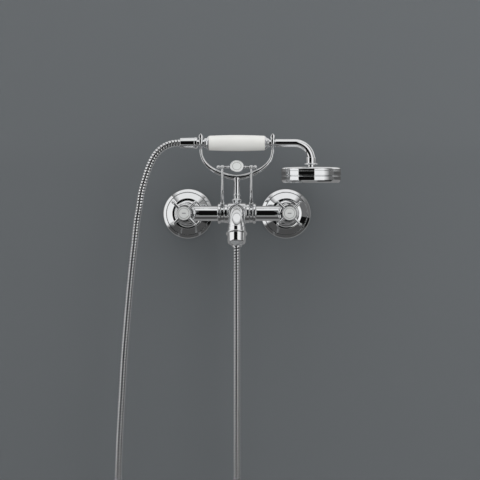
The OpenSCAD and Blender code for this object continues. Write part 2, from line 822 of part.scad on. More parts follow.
// Aerator insert: a rim with crossing bars, as seen from below
module aerator_insert() color("lightgray") at_spout_tip() {
    mouth = -spout_tip_t - slip_fit - aerator_l + 1.7;
    seat = -spout_tip_t - aerator_thread_l - 1.4;
    r = aerator_thread_d / 2 - 0.1;
    pitch = 3.2;
    bar_t = 1;
    ring(r, r - 1.8, mouth, seat);
    intersection() {
        bar(2 * r - 1, mouth + 0.4, mouth + 3.4);
        for (turn = [0, 90], k = [-2 : 2]) rotate([0, 0, turn])
            translate([-r, k * pitch - bar_t / 2, mouth + (turn == 0 ? 0.4 : 1.4)]) cube([2 * r, bar_t, 1.2]);
    }
}

module aerator_seal() color("dimgray") at_spout_tip() {
    ring(
        aerator_thread_d / 2 - 0.1, tip_bore / 2,
        -spout_tip_t - aerator_thread_l - 1.4, -spout_tip_t - aerator_thread_l
    );
}

// Collar that turns on the journal, with the boss of its rod and the hole of the drive pin
module collar() {
    r = collar_d / 2;
    neck_r = collar_w / 2 - slip_fit;
    boss_r = rod_foot_d / 2 + 0.8;
    at_body() difference() {
        union() {
            along_x() turned([
                [0, collar_inner], [r - 0.7, collar_inner], [r, collar_inner + 0.7],
                [r, collar_outer - 0.7], [r - 0.7, collar_outer], [0, collar_outer]
            ]);
            translate([collar_mid, 0, 0]) rotate([rod_lean, 0, 0]) turned([
                [0, 0], [neck_r, 0], [neck_r, boss_neck], [boss_r, boss_neck + 0.4],
                [boss_r, boss_reach - 0.5], [boss_r - 0.4, boss_reach], [0, boss_reach]
            ]);
        }
        along_x() bar(journal_d + 2 * running_fit, 0, collar_outer + over);
        translate([rod_x, 0, 0]) rotate([rod_lean, 0, 0])
            bar(rod_foot_d + 2 * slip_fit, boss_reach - boss_hole, boss_reach + over);
        translate([collar_mid, 0, 0]) rotate([rod_lean, 0, 0])
            bar(drive_pin_d + 2 * running_fit, -r - over, 0);
    }
}

module left_collar() color("silver") mirror([1, 0, 0]) collar();
module right_collar() color("silver") collar();

// Points along a rod: straight in its socket, then an arc that bows forward and back
function rod_path() = let (steps = 12) concat(
    [[0, -(boss_reach - boss_hole) * sin(rod_lean), (boss_reach - boss_hole) * cos(rod_lean)]],
    [
        for (i = [0 : steps])
            let (a = rod_lean - i / steps * (rod_lean + rod_top_lean))
            [0, -rod_start[0] - rod_r * (cos(a) - cos(rod_lean)),
                rod_start[1] + rod_r * (sin(rod_lean) - sin(a))]
    ]
);

// One bowed, tapered rod of the bail
module rod(side) color("silver") at_body() translate([side * rod_x, 0, 0]) {
    path = rod_path();
    top = len(path) - 1;
    short_end = path[top] - (rod_ball_d / 2 - rod_socket + slip_fit) * tangent(path, top);
    points = [for (i = [0 : top]) i == top ? short_end : path[i]];
    radii = [for (i = [0 : top]) (rod_foot_d + (rod_top_d - rod_foot_d) * max(i - 1, 0) / (top - 1)) / 2];
    swept_bar(points, radii, [1, 0, 0], 16);
}

// Turned cross bar with a ball over each rod, a ball at each end and beads beside the knob
module cross_bar() color("silver") at_body() translate([0, -bar_out, bar_height]) {
    difference() {
        along_x() {
            bar(bar_d, -bar_half + 1, bar_half - 1);
            for (side = [-1, 1]) {
                translate([0, 0, side * rod_x]) sphere(d = rod_ball_d, $fn = fine);
                translate([0, 0, side * (bar_half - end_ball_d / 2)]) sphere(d = end_ball_d, $fn = fine);
                translate([0, 0, side * (knob_d / 2 + 2.4)]) sphere(d = bar_d + 1.4, $fn = fine);
                translate([0, 0, side * (knob_d / 2 + 5.4)])
                    cylinder(d = bar_d + 1.2, h = 1, center = true, $fn = fine);
            }
        }
        for (side = [-1, 1]) translate([side * rod_x, 0, 0]) rotate([-rod_top_lean, 0, 0])
            bar(rod_top_d + 2 * slip_fit, -rod_ball_d, -rod_ball_d / 2 + rod_socket);
    }
}

// Puts children on the knob's axis: local +Z is the way its face looks
module at_knob()
    at_body() translate([0, -bar_out, bar_height]) rotate([90 - knob_tilt, 0, 0]) children();

// Knob disc with a rounded rim and a bored boss that sits on the cross bar
module knob() color("silver") at_knob() {
    r = knob_d / 2;
    boss_r = bar_d / 2 + 1.8;
    back = knob_off - knob_t / 2;
    face = knob_off + knob_t / 2;
    difference() {
        union() {
            turned([
                [0, back], [r - 1.6, back], [r - 0.4, back + knob_t / 4], [r, knob_off + 0.2],
                [r - 0.3, face - 0.3], [r - 0.8, face], [0, face]
            ]);
            turned([
                [0, -boss_r], [boss_r - 0.8, -boss_r], [boss_r, -boss_r + 0.8],
                [boss_r, knob_off], [0, knob_off]
            ]);
        }
        along_x() bar(bar_d + 2 * running_fit, -r, r);
        bar(knob_d - 2 * knob_rim, face - knob_plate_t, face + over);
    }
}

// Pale plate let into the knob, with one ring line
module knob_plate() color("ivory") at_knob() {
    r = knob_d / 2 - knob_rim - slip_fit;
    face = knob_off + knob_t / 2;
    difference() {
        bar(2 * r, face - knob_plate_t, face);
        ring(r * 0.74, r * 0.74 - 0.5, face - 0.3, face + over);
    }
}

// Hollow diverter rotor that turns with the bail: its window opens the spout or the hose outlet
module diverter_rotor() color("goldenrod") at_body() along_x() {
    groove_w = rotor_seal_t + 0.3;
    difference() {
        ring(rotor_d / 2, rotor_bore / 2, -rotor_half, rotor_half);
        sector(
            rotor_bore / 2 - over, rotor_d / 2 + over, -port_half_w, port_half_w,
            -90 - port_half_angle - port_spare, 90 - bail_travel + 2 * (port_half_angle + port_spare)
        );
        for (side = [-1, 1]) {
            for (x = rotor_seal_x) translate([0, 0, side * x])
                ring(rotor_d / 2 + over, rotor_d / 2 - rotor_seal_t, -groove_w / 2, groove_w / 2);
            translate([0, 0, side * collar_mid]) rotate([0, 0, rod_lean]) along_x()
                bar(drive_pin_d + 2 * running_fit, 0, rotor_d);
        }
    }
}

// O-rings of the rotor, one each side of both drive pins
module rotor_seals() color("dimgray") at_body() along_x() {
    for (side = [-1, 1], x = rotor_seal_x) translate([0, 0, side * x]) rotate_extrude($fn = fine)
        translate([rotor_d / 2 - rotor_seal_t / 2, 0]) circle(d = rotor_seal_t - 0.1, $fn = 24);
}

// Pins that carry the collars' turn through the slots to the rotor
module drive_pins() color("silver") at_body() for (side = [-1, 1]) {
    translate([side * collar_mid, 0, 0]) rotate([rod_lean, 0, 0])
        bar(drive_pin_d, -collar_d / 2 + 0.6, -rotor_bore / 2 - 0.4);
}

// Cup-shaped foot of the column, seated on the boss
module column_foot() color("silver") at_body() translate([0, -column_out, 0]) {
    saddle = boss_d / 2;
    difference() {
        union() {
            turned([
                [0, saddle - 1.4], [4, saddle - 1.4], [4.2, saddle + 0.6], [7.2, saddle + 6.4],
                [7.5, saddle + 7], [7.2, saddle + 7.6], [5.6, saddle + 8], [5.4, saddle + 8.8],
                [4.3, saddle + 9.6], [4.3, foot_top - 3.4], [5.2, foot_top - 2.6], [5.2, foot_top - 1],
                [4.6, foot_top], [0, foot_top]
            ]);
            bar(foot_stud_d, saddle - foot_stud_l, saddle);
        }
        difference() {
            translate([0, column_out, 0]) {
                rotate([90, 0, 0]) bar(boss_d + 2 * slip_fit, 0, boss_out + boss_d);
                along_x() bar(drum_d + 2 * slip_fit, -drum_half, drum_half);
            }
            bar(foot_stud_d, 0, boss_d);
        }
        bar(column_tenon_d + 2 * slip_fit, foot_top - column_tenon - slip_fit, foot_top + over);
    }
}

// Plain column with a tenon in the foot and a saddle under the cradle
module column() color("silver") at_body() translate([0, -column_out, 0]) {
    saddle_d = arm_foot_d + 2 * slip_fit;
    difference() {
        union() {
            bar(column_tenon_d, foot_top - column_tenon, foot_top + over);
            bar(column_d, foot_top, cradle_low);
            turned([
                [0, cradle_low - 6], [column_d / 2, cradle_low - 6],
                [column_d / 2 + 0.7, cradle_low - 3], [column_d / 2 + 0.7, cradle_low],
                [0, cradle_low]
            ]);
        }
        along_x() translate([-cradle_low, 0, 0]) bar(saddle_d, -column_d, column_d);
    }
}

// U-shaped cradle: one bar along half an ellipse that dips at the column, thinner towards the forks
module cradle() color("silver") at_body() translate([0, -column_out, cradle_height]) {
    steps = 36;
    curve = [
        for (i = [0 : steps])
            let (a = -90 + 180 * i / steps)
            [fork_x * sin(a), 0, (arm_rise - arm_straight) * (1 - cos(a)) - cradle_dip * pow(cos(a), 16)]
    ];
    path = concat([[-fork_x, 0, arm_rise]], curve, [[fork_x, 0, arm_rise]]);
    radii = [for (p = path) (arm_foot_d + (arm_top_d - arm_foot_d) * pow(abs(p[0]) / fork_x, 2)) / 2];
    swept_bar(path, radii, [0, 1, 0], 16);
}

// Fork that the neck of the hand shower rests in: leaf-shaped prongs on a slim stem
module fork(side) color("silver") at_body() translate([side * fork_x, -column_out, handset_height]) {
    outer_r = fork_r + prong_t;
    half_w = prong_w / 2;
    foot_w = half_w * 0.45;
    tip_out = fork_r + prong_t * 0.55;
    stem_top = -fork_r - prong_t / 2;
    stem_r = arm_top_d / 2;
    stem_foot = arm_top - handset_height;
    leaf = [
        for (p = [
            [0.5, 0.9], [0.9, 0.78], [1, 0.7], [0.88, 0.57], [0.66, 0.45],
            [0.7, 0.38], [0.9, 0.28], [0.92, 0.15], [0.8, 0]
        ]) [half_w * p[0], prong_rise * p[1]]
    ];
    difference() {
        union() {
            intersection() {
                along_x() linear_extrude(height = prong_w, center = true) union() {
                    circle(outer_r, $fn = fine);
                    polygon([
                        [0, -outer_r], [-prong_rise, -tip_out], [-prong_rise, tip_out], [0, outer_r]
                    ]);
                }
                rotate([90, 0, 0]) linear_extrude(height = 4 * outer_r, center = true) polygon(concat(
                    [[0, prong_rise]], leaf, [[foot_w, -outer_r], [-foot_w, -outer_r]],
                    [for (i = [len(leaf) - 1 : -1 : 0]) [-leaf[i][0], leaf[i][1]]]
                ));
            }
            turned([
                [0, stem_foot], [stem_r, stem_foot], [stem_r - 0.6, stem_foot + fork_stem * 0.4],
                [stem_r - 0.6, -outer_r], [stem_r, stem_top], [0, stem_top]
            ]);
        }
        along_x() {
            bar(2 * fork_r, -prong_w, prong_w);
            translate([-prong_rise - over, -fork_r, -prong_w])
                cube([prong_rise + over, 2 * fork_r, 2 * prong_w]);
        }
    }
}

// Tube of the hand shower: hose tenon, neck, run through the grip, stem and bend down to the head
module handset_tube() color("silver") at_handset() {
    difference() {
        union() {
            along_x() {
                bar(hose_thread_d, -tenon_end, -hose_nut_open_x - 0.4);
                bar(neck_d, -tenon_end + 2, stem_start + over);
                translate([0, 0, bend_start]) turned([
                    [0, -stem_run], [stem_d / 2 - 0.8, -stem_run], [stem_d / 2, 0.8 - stem_run],
                    [stem_d / 2, 0], [0, 0]
                ]);
            }
            stem_elbow(stem_d);
        }
        along_x() bar(handset_bore, -tenon_end - over, bend_start);
        stem_elbow(handset_bore);
    }
}

// The bend of the hand shower's tube, as a round bar
module stem_elbow(d) {
    translate([bend_start, 0, -stem_bend_r]) rotate([90, 0, 0])
        rotate_extrude(angle = 90, $fn = fine) translate([stem_bend_r, 0]) circle(d = d, $fn = fine);
}

// Porcelain grip, slightly barrelled, with eased ends
module grip() color("ivory") at_handset() along_x() {
    swell = (grip_mid_d - grip_end_d) / 2;
    barrel_r = (grip_half * grip_half + swell * swell) / (2 * swell);
    bore_r = neck_d / 2 + slip_fit;
    end_r = grip_end_d / 2;
    ease = 0.5;
    rotate_extrude($fn = fine) intersection() {
        translate([grip_mid_d / 2 - barrel_r, 0]) circle(barrel_r, $fn = flat_arc_fine);
        polygon([
            [bore_r, -grip_half], [end_r - ease, -grip_half], [end_r + ease, -grip_half + 2 * ease],
            [grip_mid_d, 0], [end_r + ease, grip_half - 2 * ease], [end_r - ease, grip_half],
            [bore_r, grip_half]
        ]);
    }
}

// Stepped ferrule between the hose end of the grip and the neck
module hose_ferrule() color("silver") at_handset() along_x() mirror([0, 0, 1]) {
    bore_r = neck_d / 2 + slip_fit;
    r = ferrule_d / 2;
    ferrule_end = grip_half + ferrule_l;
    turned([
        [bore_r, grip_half], [r, grip_half], [r, grip_half + 0.6], [r - 3, grip_half + 3.6],
        [r - 3.6, grip_half + 3.9], [r - 3, grip_half + 4.4], [r - 3, grip_half + 5.8],
        [r - 3.8, ferrule_end - 0.4], [bore_r + 0.4, ferrule_end], [bore_r, ferrule_end]
    ]);
}

// Tapered ferrule between the head end of the grip and the neck
module head_ferrule() color("silver") at_handset() along_x() {
    bore_r = neck_d / 2 + slip_fit;
    r = ferrule_d / 2;
    turned([
        [bore_r, grip_half], [r, grip_half], [r, grip_half + 0.6], [r - 2.4, grip_half + 2.8],
        [r - 3, grip_half + 3.2], [r - 2.6, grip_half + 3.8], [r - 4, grip_half + head_ferrule_l - 0.6],
        [bore_r, grip_half + head_ferrule_l]
    ]);
}

// Puts children on the axis of the head, with local +Z pointing down from the hand shower's axis
module at_head() at_handset() translate([head_x, 0, 0]) rotate([180, 0, 0]) children();

// Turned collar, flange and neck between the bend and the head; the end of the bend sits in the collar
module head_collar() color("silver") {
    r = head_collar_d / 2;
    flange = collar_top + head_collar_h;
    difference() {
        at_head() turned([
            [0, collar_top], [r - 0.8, collar_top], [r, collar_top + 0.8], [r, flange - 1], [r - 0.6, flange],
            [head_flange_d / 2 - 0.5, flange], [head_flange_d / 2, flange + 0.5],
            [head_flange_d / 2 - 0.5, flange + head_flange_t], [head_neck_d / 2, flange + head_flange_t],
            [head_neck_d / 2, head_top + 0.8], [0, head_top + 0.8]
        ]);
        at_head() bar(handset_bore, collar_top, head_top + 2);
        at_handset() stem_elbow(stem_d + 2 * slip_fit);
    }
}

// Round head: domed top, two groove lines round the side, open below for the spray plate
module head_shell() color("silver") at_head() {
    r = head_d / 2;
    neck_r = head_neck_d / 2 + slip_fit;
    line_a = head_top + 6;
    line_b = head_top + 13.4;
    line = 0.5;
    roof = head_top + 1.4;
    plate_r = spray_plate_d / 2 + slip_fit;
    plate_seat = head_bottom - spray_recess - spray_plate_t;
    turned([
        [neck_r, head_top], [r - 12, head_top + 0.5], [r - 3.4, head_top + 1.2], [r - 1, head_top + 2.2],
        [r, head_top + 3.6], [r, line_a - line], [r - line, line_a], [r, line_a + line],
        [r, line_b - 2 * line], [r - 1.4, line_b - line], [r - 1.4, line_b + line], [r, line_b + 2 * line],
        [r, head_bottom - 4], [r - 1, head_bottom - 1.6], [r - 2.6, head_bottom - 0.3],
        [r - 3.6, head_bottom], [plate_r, head_bottom - 0.6], [plate_r, plate_seat],
        [plate_r - 1.6, plate_seat], [plate_r - 1.6, plate_seat - 1.4],
        [r - 1.4 - head_wall, plate_seat - 2.6], [r - 1.4 - head_wall, roof + head_wall + 1.6],
        [neck_r, roof + head_wall]
    ]);
}

// Places of the nozzles: rings of six, twelve, eighteen and so on
function nozzle_places() = [
    for (n = [1 : nozzle_rings], k = [0 : 6 * n - 1])
        let (r = n * (spray_plate_d / 2 - 5) / nozzle_rings, a = 60 * k / n)
        [r * cos(a), r * sin(a)]
];

// Spray plate drilled for its nozzles
module spray_plate() color("silver") at_head() {
    face = head_bottom - spray_recess;
    linear_extrude_from(face - spray_plate_t, face) difference() {
        circle(d = spray_plate_d, $fn = fine);
        for (p = nozzle_places()) translate(p) circle(d = nozzle_d + 2 * slip_fit, $fn = 24);
    }
}

// Straight extrusion between two places on the local Z axis
module linear_extrude_from(from, to) translate([0, 0, from]) linear_extrude(height = to - from) children();

// Rubber pad behind the plate, with one nub through each hole
module spray_nozzles() color("dimgray") at_head() {
    face = head_bottom - spray_recess;
    back = face - spray_plate_t;
    bar(spray_plate_d - 4, back - nozzle_pad_t, back);
    linear_extrude_from(back - nozzle_pad_t / 2, face + nozzle_proud)
        for (p = nozzle_places()) translate(p) circle(d = nozzle_d, $fn = 24);
}

// Cone nut along the local Z axis: open end at zero, and a socket at its length that the hose turns in
module hose_nut(seat) {
    difference() {
        turned([
            [0, 0], [hose_nut_d / 2 - 0.5, 0], [hose_nut_d / 2, 0.5], [hose_nut_d / 2, 3.4],
            [hose_nut_d / 2 - 0.4, 3.8], [hose_nut_d / 2 - 0.4, 4.6], [hose_nut_tip_d / 2, hose_nut_l - 0.8],
            [hose_nut_tip_d / 2 - 0.8, hose_nut_l], [0, hose_nut_l]
        ]);
        bar(hose_thread_d + 2 * slip_fit, -over, seat);
        bar(hose_bore, 0, hose_nut_l);
        bar(hose_d + 2 * free_gap, hose_nut_l - hose_socket, hose_nut_l + over);
    }
}

module handset_hose_nut() color("silver") at_handset() along_x() {
    translate([0, 0, -hose_nut_open_x]) mirror([0, 0, 1]) hose_nut(tenon_end - hose_nut_open_x + washer_t);
}

module handset_washer() color("dimgray") at_handset() along_x() {
    ring(hose_thread_d / 2, washer_bore / 2, -tenon_end - washer_t, -tenon_end);
}

// Nipple screwed up into the body for the hose
module hose_outlet() color("silver") at_body() rotate([180, 0, 0]) {
    flange_end = outlet_boss_l + outlet_hex_l;
    difference() {
        union() {
            bar(outlet_tenon_d, outlet_boss_l - outlet_tenon_l, outlet_boss_l + over);
            translate([0, 0, outlet_boss_l]) cylinder(d = outlet_hex_d, h = outlet_hex_l, $fn = 6);
            bar(hose_thread_d, flange_end - over, outlet_thread_end);
        }
        bar(outlet_bore, 0, outlet_thread_end + over);
    }
}

module outlet_hose_nut() color("silver") at_body() rotate([180, 0, 0]) {
    translate([0, 0, outlet_nut_open]) hose_nut(outlet_thread_end - outlet_nut_open + washer_t);
}

module outlet_washer() color("dimgray") at_body() rotate([180, 0, 0]) {
    ring(hose_thread_d / 2, washer_bore / 2, outlet_thread_end, outlet_thread_end + washer_t);
}

// Point on a smooth curve through the route's points
function curve_point(p, i, t) =
    let (
        a = i == 0 ? 2 * p[0] - p[1] : p[i - 1],
        b = p[i],
        c = p[i + 1],
        d = i + 2 < len(p) ? p[i + 2] : 2 * c - b
    )
    (2 * b + (c - a) * t + (2 * a - 5 * b + 4 * c - d) * t * t + (3 * b - a - 3 * c + d) * t * t * t) / 2;

// The route drawn finely: straight first and last runs, a smooth curve between them
hose_line = concat(
    [hose_route[0]],
    [
        for (i = [1 : len(hose_route) - 3], k = [0 : route_steps - 1])
            curve_point(hose_route, i, k / route_steps)
    ],
    [hose_route[len(hose_route) - 2], hose_route[len(hose_route) - 1]]
);

// Length along the drawn route at each of its points
line_last = len(hose_line) - 1;
hose_lengths = [
    for (
        i = 0, s = 0;
        i <= line_last;
        s = s + norm(hose_line[min(i + 1, line_last)] - hose_line[i]), i = i + 1
    ) s
];
hose_length = hose_lengths[line_last];

// Places along the hose at even steps of its length
function hose_stations(count) =
    let (tables = [for (axis = [0 : 2]) [for (i = [0 : line_last]) [hose_lengths[i], hose_line[i][axis]]]])
    [for (k = [0 : count]) [for (axis = [0 : 2]) lookup(hose_length * k / count, tables[axis])]];

// Ribbed metal hose with its bore: a crest and a valley for each rib
module hose() color("silver") at_body() {
    outer = hose_stations(2 * hose_ribs);
    inner = hose_stations(bore_rings);
    outer_points = [
        for (i = [0 : 2 * hose_ribs])
            each ring_points(
                outer[i], tangent(outer, i), [0, 1, 0], (i % 2 == 1 ? hose_d : hose_valley_d) / 2, hose_sides
            )
    ];
    inner_points = [
        for (i = [0 : bore_rings])
            each ring_points(inner[i], tangent(inner, i), [0, 1, 0], hose_bore / 2, hose_sides)
    ];
    first_inner = len(outer_points);
    last_outer = 2 * hose_ribs * hose_sides;
    last_inner = first_inner + bore_rings * hose_sides;
    ends = [
        for (k = [0 : hose_sides - 1])
            let (n = (k + 1) % hose_sides)
            each [
                [k, first_inner + n, n],
                [k, first_inner + k, first_inner + n],
                [last_outer + k, last_outer + n, last_inner + n],
                [last_outer + k, last_inner + n, last_inner + k]
            ]
    ];
    polyhedron(
        concat(outer_points, inner_points),
        concat(
            wall_faces(0, 2 * hose_ribs + 1, hose_sides, true),
            wall_faces(first_inner, bore_rings + 1, hose_sides, false),
            ends
        )
    );
}

s_union(-1);  // hot_s_union
s_union(1);  // cold_s_union
rosette(-1);  // hot_rosette
rosette(1);  // cold_rosette
union_nut(-1);  // hot_union_nut
union_nut(1);  // cold_union_nut
union_gaskets();
check_valves();
hot_arm();
cold_arm();
centre_body();
headwork(-1);  // hot_headwork
headwork(1);  // cold_headwork
seat_seals();
fixed_discs();
bonnet(-1);  // hot_bonnet
bonnet(1);  // cold_bonnet
cross_handle(-1);  // hot_handle
index_plate(-1);  // hot_index_plate
handle_screw(-1);  // hot_handle_screw
spindle(-1);  // hot_spindle
moving_disc(-1);  // hot_moving_disc
cross_handle(1);  // cold_handle
index_plate(1);  // cold_index_plate
handle_screw(1);  // cold_handle_screw
spindle(1);  // cold_spindle
moving_disc(1);  // cold_moving_disc
spout();
aerator_housing();
aerator_insert();
aerator_seal();
left_collar();
right_collar();
rod(-1);  // left_rod
rod(1);  // right_rod
cross_bar();
knob();
knob_plate();
diverter_rotor();
drive_pins();
rotor_seals();
column_foot();
column();
cradle();
fork(-1);  // left_fork
fork(1);  // right_fork
handset_tube();
grip();
hose_ferrule();
head_ferrule();
head_collar();
head_shell();
spray_plate();
spray_nozzles();
handset_hose_nut();
handset_washer();
hose_outlet();
outlet_hose_nut();
outlet_washer();
hose();
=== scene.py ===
"""Looks of an exposed bath shower mixer: turned chrome, a porcelain grip and a spiral metal hose."""

import json
import math

import bpy
from bpy.props import FloatProperty, FloatVectorProperty, IntProperty, PointerProperty
from mathutils import Matrix, Vector


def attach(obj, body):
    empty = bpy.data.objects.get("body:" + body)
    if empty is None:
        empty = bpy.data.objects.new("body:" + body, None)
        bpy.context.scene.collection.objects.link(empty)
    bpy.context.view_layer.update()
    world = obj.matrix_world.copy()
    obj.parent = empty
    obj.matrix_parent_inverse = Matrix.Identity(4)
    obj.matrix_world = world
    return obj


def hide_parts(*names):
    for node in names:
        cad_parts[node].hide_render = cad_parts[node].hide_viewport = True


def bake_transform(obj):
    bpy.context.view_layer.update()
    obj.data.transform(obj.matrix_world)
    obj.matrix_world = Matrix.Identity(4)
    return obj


bl_info = {
    "name": "Bath Shower Mixer",
    "version": (1, 0, 0),
    "blender": (4, 5, 0),
    "location": "3D View > Sidebar > Mixer",
    "description": "Builds the visible pieces of a bath shower mixer round its packed model",
    "category": "Object",
}

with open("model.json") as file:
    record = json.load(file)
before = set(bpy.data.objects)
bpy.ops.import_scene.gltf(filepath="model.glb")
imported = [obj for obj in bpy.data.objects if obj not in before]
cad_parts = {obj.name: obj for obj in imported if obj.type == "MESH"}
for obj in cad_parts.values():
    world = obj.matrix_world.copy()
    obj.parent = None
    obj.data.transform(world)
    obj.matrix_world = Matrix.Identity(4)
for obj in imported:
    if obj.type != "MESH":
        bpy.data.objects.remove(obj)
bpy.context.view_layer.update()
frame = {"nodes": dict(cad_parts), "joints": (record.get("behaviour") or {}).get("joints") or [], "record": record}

JOINTS = {joint["name"]: joint for joint in frame["joints"]}
BODY_OF = {
    node: body
    for body, nodes in frame["record"]["behaviour"]["bodies"].items()
    for node in nodes
}
SLOT_OF = {part["node"]: part["material_slot"] for part in frame["record"]["subparts"]}

# Lengths below are in millimetres, in the model's own frame: +X right, -Y out of the wall, +Z up
MM = 0.001
BODY_AXIS = Vector(JOINTS["bail_swing"]["pos_m"]) / MM
BODY_RISE = BODY_AXIS.z
INLET_X = JOINTS["cold_turn"]["pos_m"][0] / MM

# Wall rosettes and union nuts, as depths out of the wall
ROSETTE_R = 38.0
ROSETTE_H = 21.0
ROSETTE_NECK_R = 15.5
ROSETTE_BORE_R = 13.3
ROSETTE_SWEEP_R = 7.0
ROSETTE_GROOVE_R = 33.0
DOME_TOP = 12.0
DOME_FOOT = 5.4
UNION_NUT_ACROSS = 32.0
UNION_NUT_REAR = 21.5
UNION_NUT_FRONT = 37.1
UNION_NUT_BORE_R = 10.6

# Body tube, measured from the middle of the mixer
TUBE_R = 11.0
JOURNAL_R = 10.4
JOURNAL_END = 12.2
FLANGE_R = 14.75
FLANGE_INNER = 23.9
FLANGE_OUTER = 27.9
COLLAR_R = 13.25
COLLAR_INNER = 18.7
COLLAR_OUTER = 23.5
DRUM_R = 15.5
DRUM_HALF = 18.3
BOSS_R = 12.5
BOSS_OUT = 18.0
OUTLET_BOSS_R = 9.5
OUTLET_BOSS_L = 18.5

# Valve housings, bonnets and cross handles, as depths out of the wall
TAIL_R = 10.5
TAIL_FLANGE_R = 12.9
TAIL_FACE = 32.0
HOUSING_R = 15.5
HOUSING_REAR = 43.0
HOUSING_FACE = 75.0
BONNET_R = 13.5
BONNET_FACE = 87.5
HUB_R = 10.5
HUB_REAR = 87.9
HUB_FACE = 109.4
SPOKE_DEPTH = 99.08
SPOKE_R = 2.2
SPOKE_REACH = 25.0
SPOKE_COUNT = 4
INDEX_SEAT = 107.2
INDEX_R = 9.6

# Spout and aerator, from the body axis
SPOUT_R = 11.8
SPOUT_RUN = 46.0
SPOUT_BEND_R = 34.0
SPOUT_BEND = math.radians(69)
SPOUT_TIP_T = 6.0
AERATOR_R = 12.8
AERATOR_FLANGE_R = 14.75
AERATOR_L = 15.0
AERATOR_BORE_R = 10.4

# Diverter bail, from the body axis
ROD_X = 21.0
ROD_LEAN = math.radians(35)
ROD_TOP_LEAN = math.radians(20)
ROD_FOOT_R = 2.3
ROD_TOP_R = 1.6
ROD_START = 19.0
BAR_HEIGHT = 67.0
BAR_R = 1.5
BAR_HALF = 29.6
ROD_BALL_R = 3.2
END_BALL_R = 2.9
KNOB_R = 10.0
KNOB_TILT = math.radians(28)
KNOB_OFF = 2.0
KNOB_T = 3.0
ROD_BOW_R = (BAR_HEIGHT - ROD_START * math.cos(ROD_LEAN)) / (math.sin(ROD_LEAN) + math.sin(ROD_TOP_LEAN))
BAR_OUT = ROD_START * math.sin(ROD_LEAN) + ROD_BOW_R * (math.cos(ROD_TOP_LEAN) - math.cos(ROD_LEAN))

# Column and cradle, from the body axis
COLUMN_OUT = 12.8
COLUMN_R = 4.25
FOOT_SEAT = 12.5
FOOT_TOP = 28.5
CRADLE_HEIGHT = 54.5
CRADLE_DIP = 2.2
CRADLE_LOW = CRADLE_HEIGHT - CRADLE_DIP
FORK_X = 52.3
ARM_TOP = 92.95
ARM_RISE = ARM_TOP - CRADLE_HEIGHT
ARM_STRAIGHT = 2.0
ARM_FOOT_R = 3.7
ARM_TOP_R = 2.0
FORK_MID_R = 6.55
FORK_OUTER_R = 8.05
PRONG_RISE = 13.5
PRONG_HALF_W = 2.9
PRONG_HALF_T = 1.5

# Hand shower, from the middle of its grip
HANDSET_HEIGHT = 102.5
HANDSET_ROLL = math.radians(2.5)
NECK_R = 4.75
NECK_END = 68.0
STEM_R = 5.7
STEM_START = 56.4
STEM_BEND_R = 24.0
COLLAR_LAP = 3.5
HEAD_X = 108.5
GRIP_HALF = 40.7
GRIP_MID_R = 11.75
GRIP_END_R = 10.7
FERRULE_R = 10.1
FERRULE_L = 7
HEAD_R = 43.25
HEAD_TOP = 34.3
HEAD_BOTTOM = 57.7
SPRAY_PLATE_R = 39.1
HOSE_NUT_OPEN_X = 57.8
HOSE_NUT_L = 24.8
HOSE_NUT_R = 8.2
HOSE_NUT_TIP_R = 7.3

# Hose outlet below the body and the hose's route, from the body axis
OUTLET_HEX_ACROSS = 16.0
OUTLET_NUT_OPEN = 24.5
HOSE_R = 5.0
HOSE_BORE_R = 3.0
HOSE_SOCKET = 4.0
HOSE_IN = 3.6
HOSE_START = Vector((-HOSE_NUT_OPEN_X - HOSE_NUT_L + HOSE_IN, -COLUMN_OUT, HANDSET_HEIGHT))
HOSE_FINISH = Vector((0, 0, -OUTLET_NUT_OPEN - HOSE_NUT_L + HOSE_IN))
HOSE_LEAD = HOSE_IN + 3.0
HOSE_STRAIGHT = HOSE_IN + 10.0
HOSE_ROUTE = [
    HOSE_START,
    HOSE_START - Vector((HOSE_LEAD, 0, 0)),
    *map(Vector, (
        (-94.5, -12.9, 101.5), (-103, -13, 98.5), (-110.6, -13, 93.6), (-116.9, -13, 87.3),
        (-121.9, -13, 79.8), (-125.9, -13, 71.7), (-129.3, -13, 63.4), (-134, -13, 49), (-139, -13, 31),
        (-142, -13, 11), (-146, -12, -13), (-149, -12, -41), (-153, -11, -75), (-157, -10, -115),
        (-161, -9, -160), (-165, -8, -210), (-168, -7, -260), (-171, -6, -310), (-173, -6, -355),
        (-174, -5, -395), (-172, -4, -430), (-165, -4, -461), (-151, -3, -489), (-129, -2, -510),
        (-103, -2, -522), (-76, -1, -523), (-49, -1, -514), (-26, 0, -495), (-11, 0, -468), (-3, 0, -437),
        (0, 0, -400), (0, 0, -350), (0, 0, -290), (0, 0, -220), (0, 0, -150), (0, 0, -100),
    )),
    HOSE_FINISH - Vector((0, 0, HOSE_STRAIGHT)),
    HOSE_FINISH,
]

# Paint in the ring grooves of the plates
PAINT_T = 0.1
PAINT_LAP = 0.02

# Rounding of corners: the share of an edge that it may take, the least bend that gets it, and its steps
EASE_SHARE = 0.48
EASE_BEND = math.radians(2)
EASE_STEP = math.radians(15)
# Points nearer to a turned piece's axis than this lie on it
ON_AXIS = 1e-6


def shift(x, y, z):
    """Matrix that moves by these millimetres."""
    return Matrix.Translation((x, y, z))


def turn(degrees, axis):
    """Matrix that turns about one axis."""
    return Matrix.Rotation(math.radians(degrees), 4, axis)


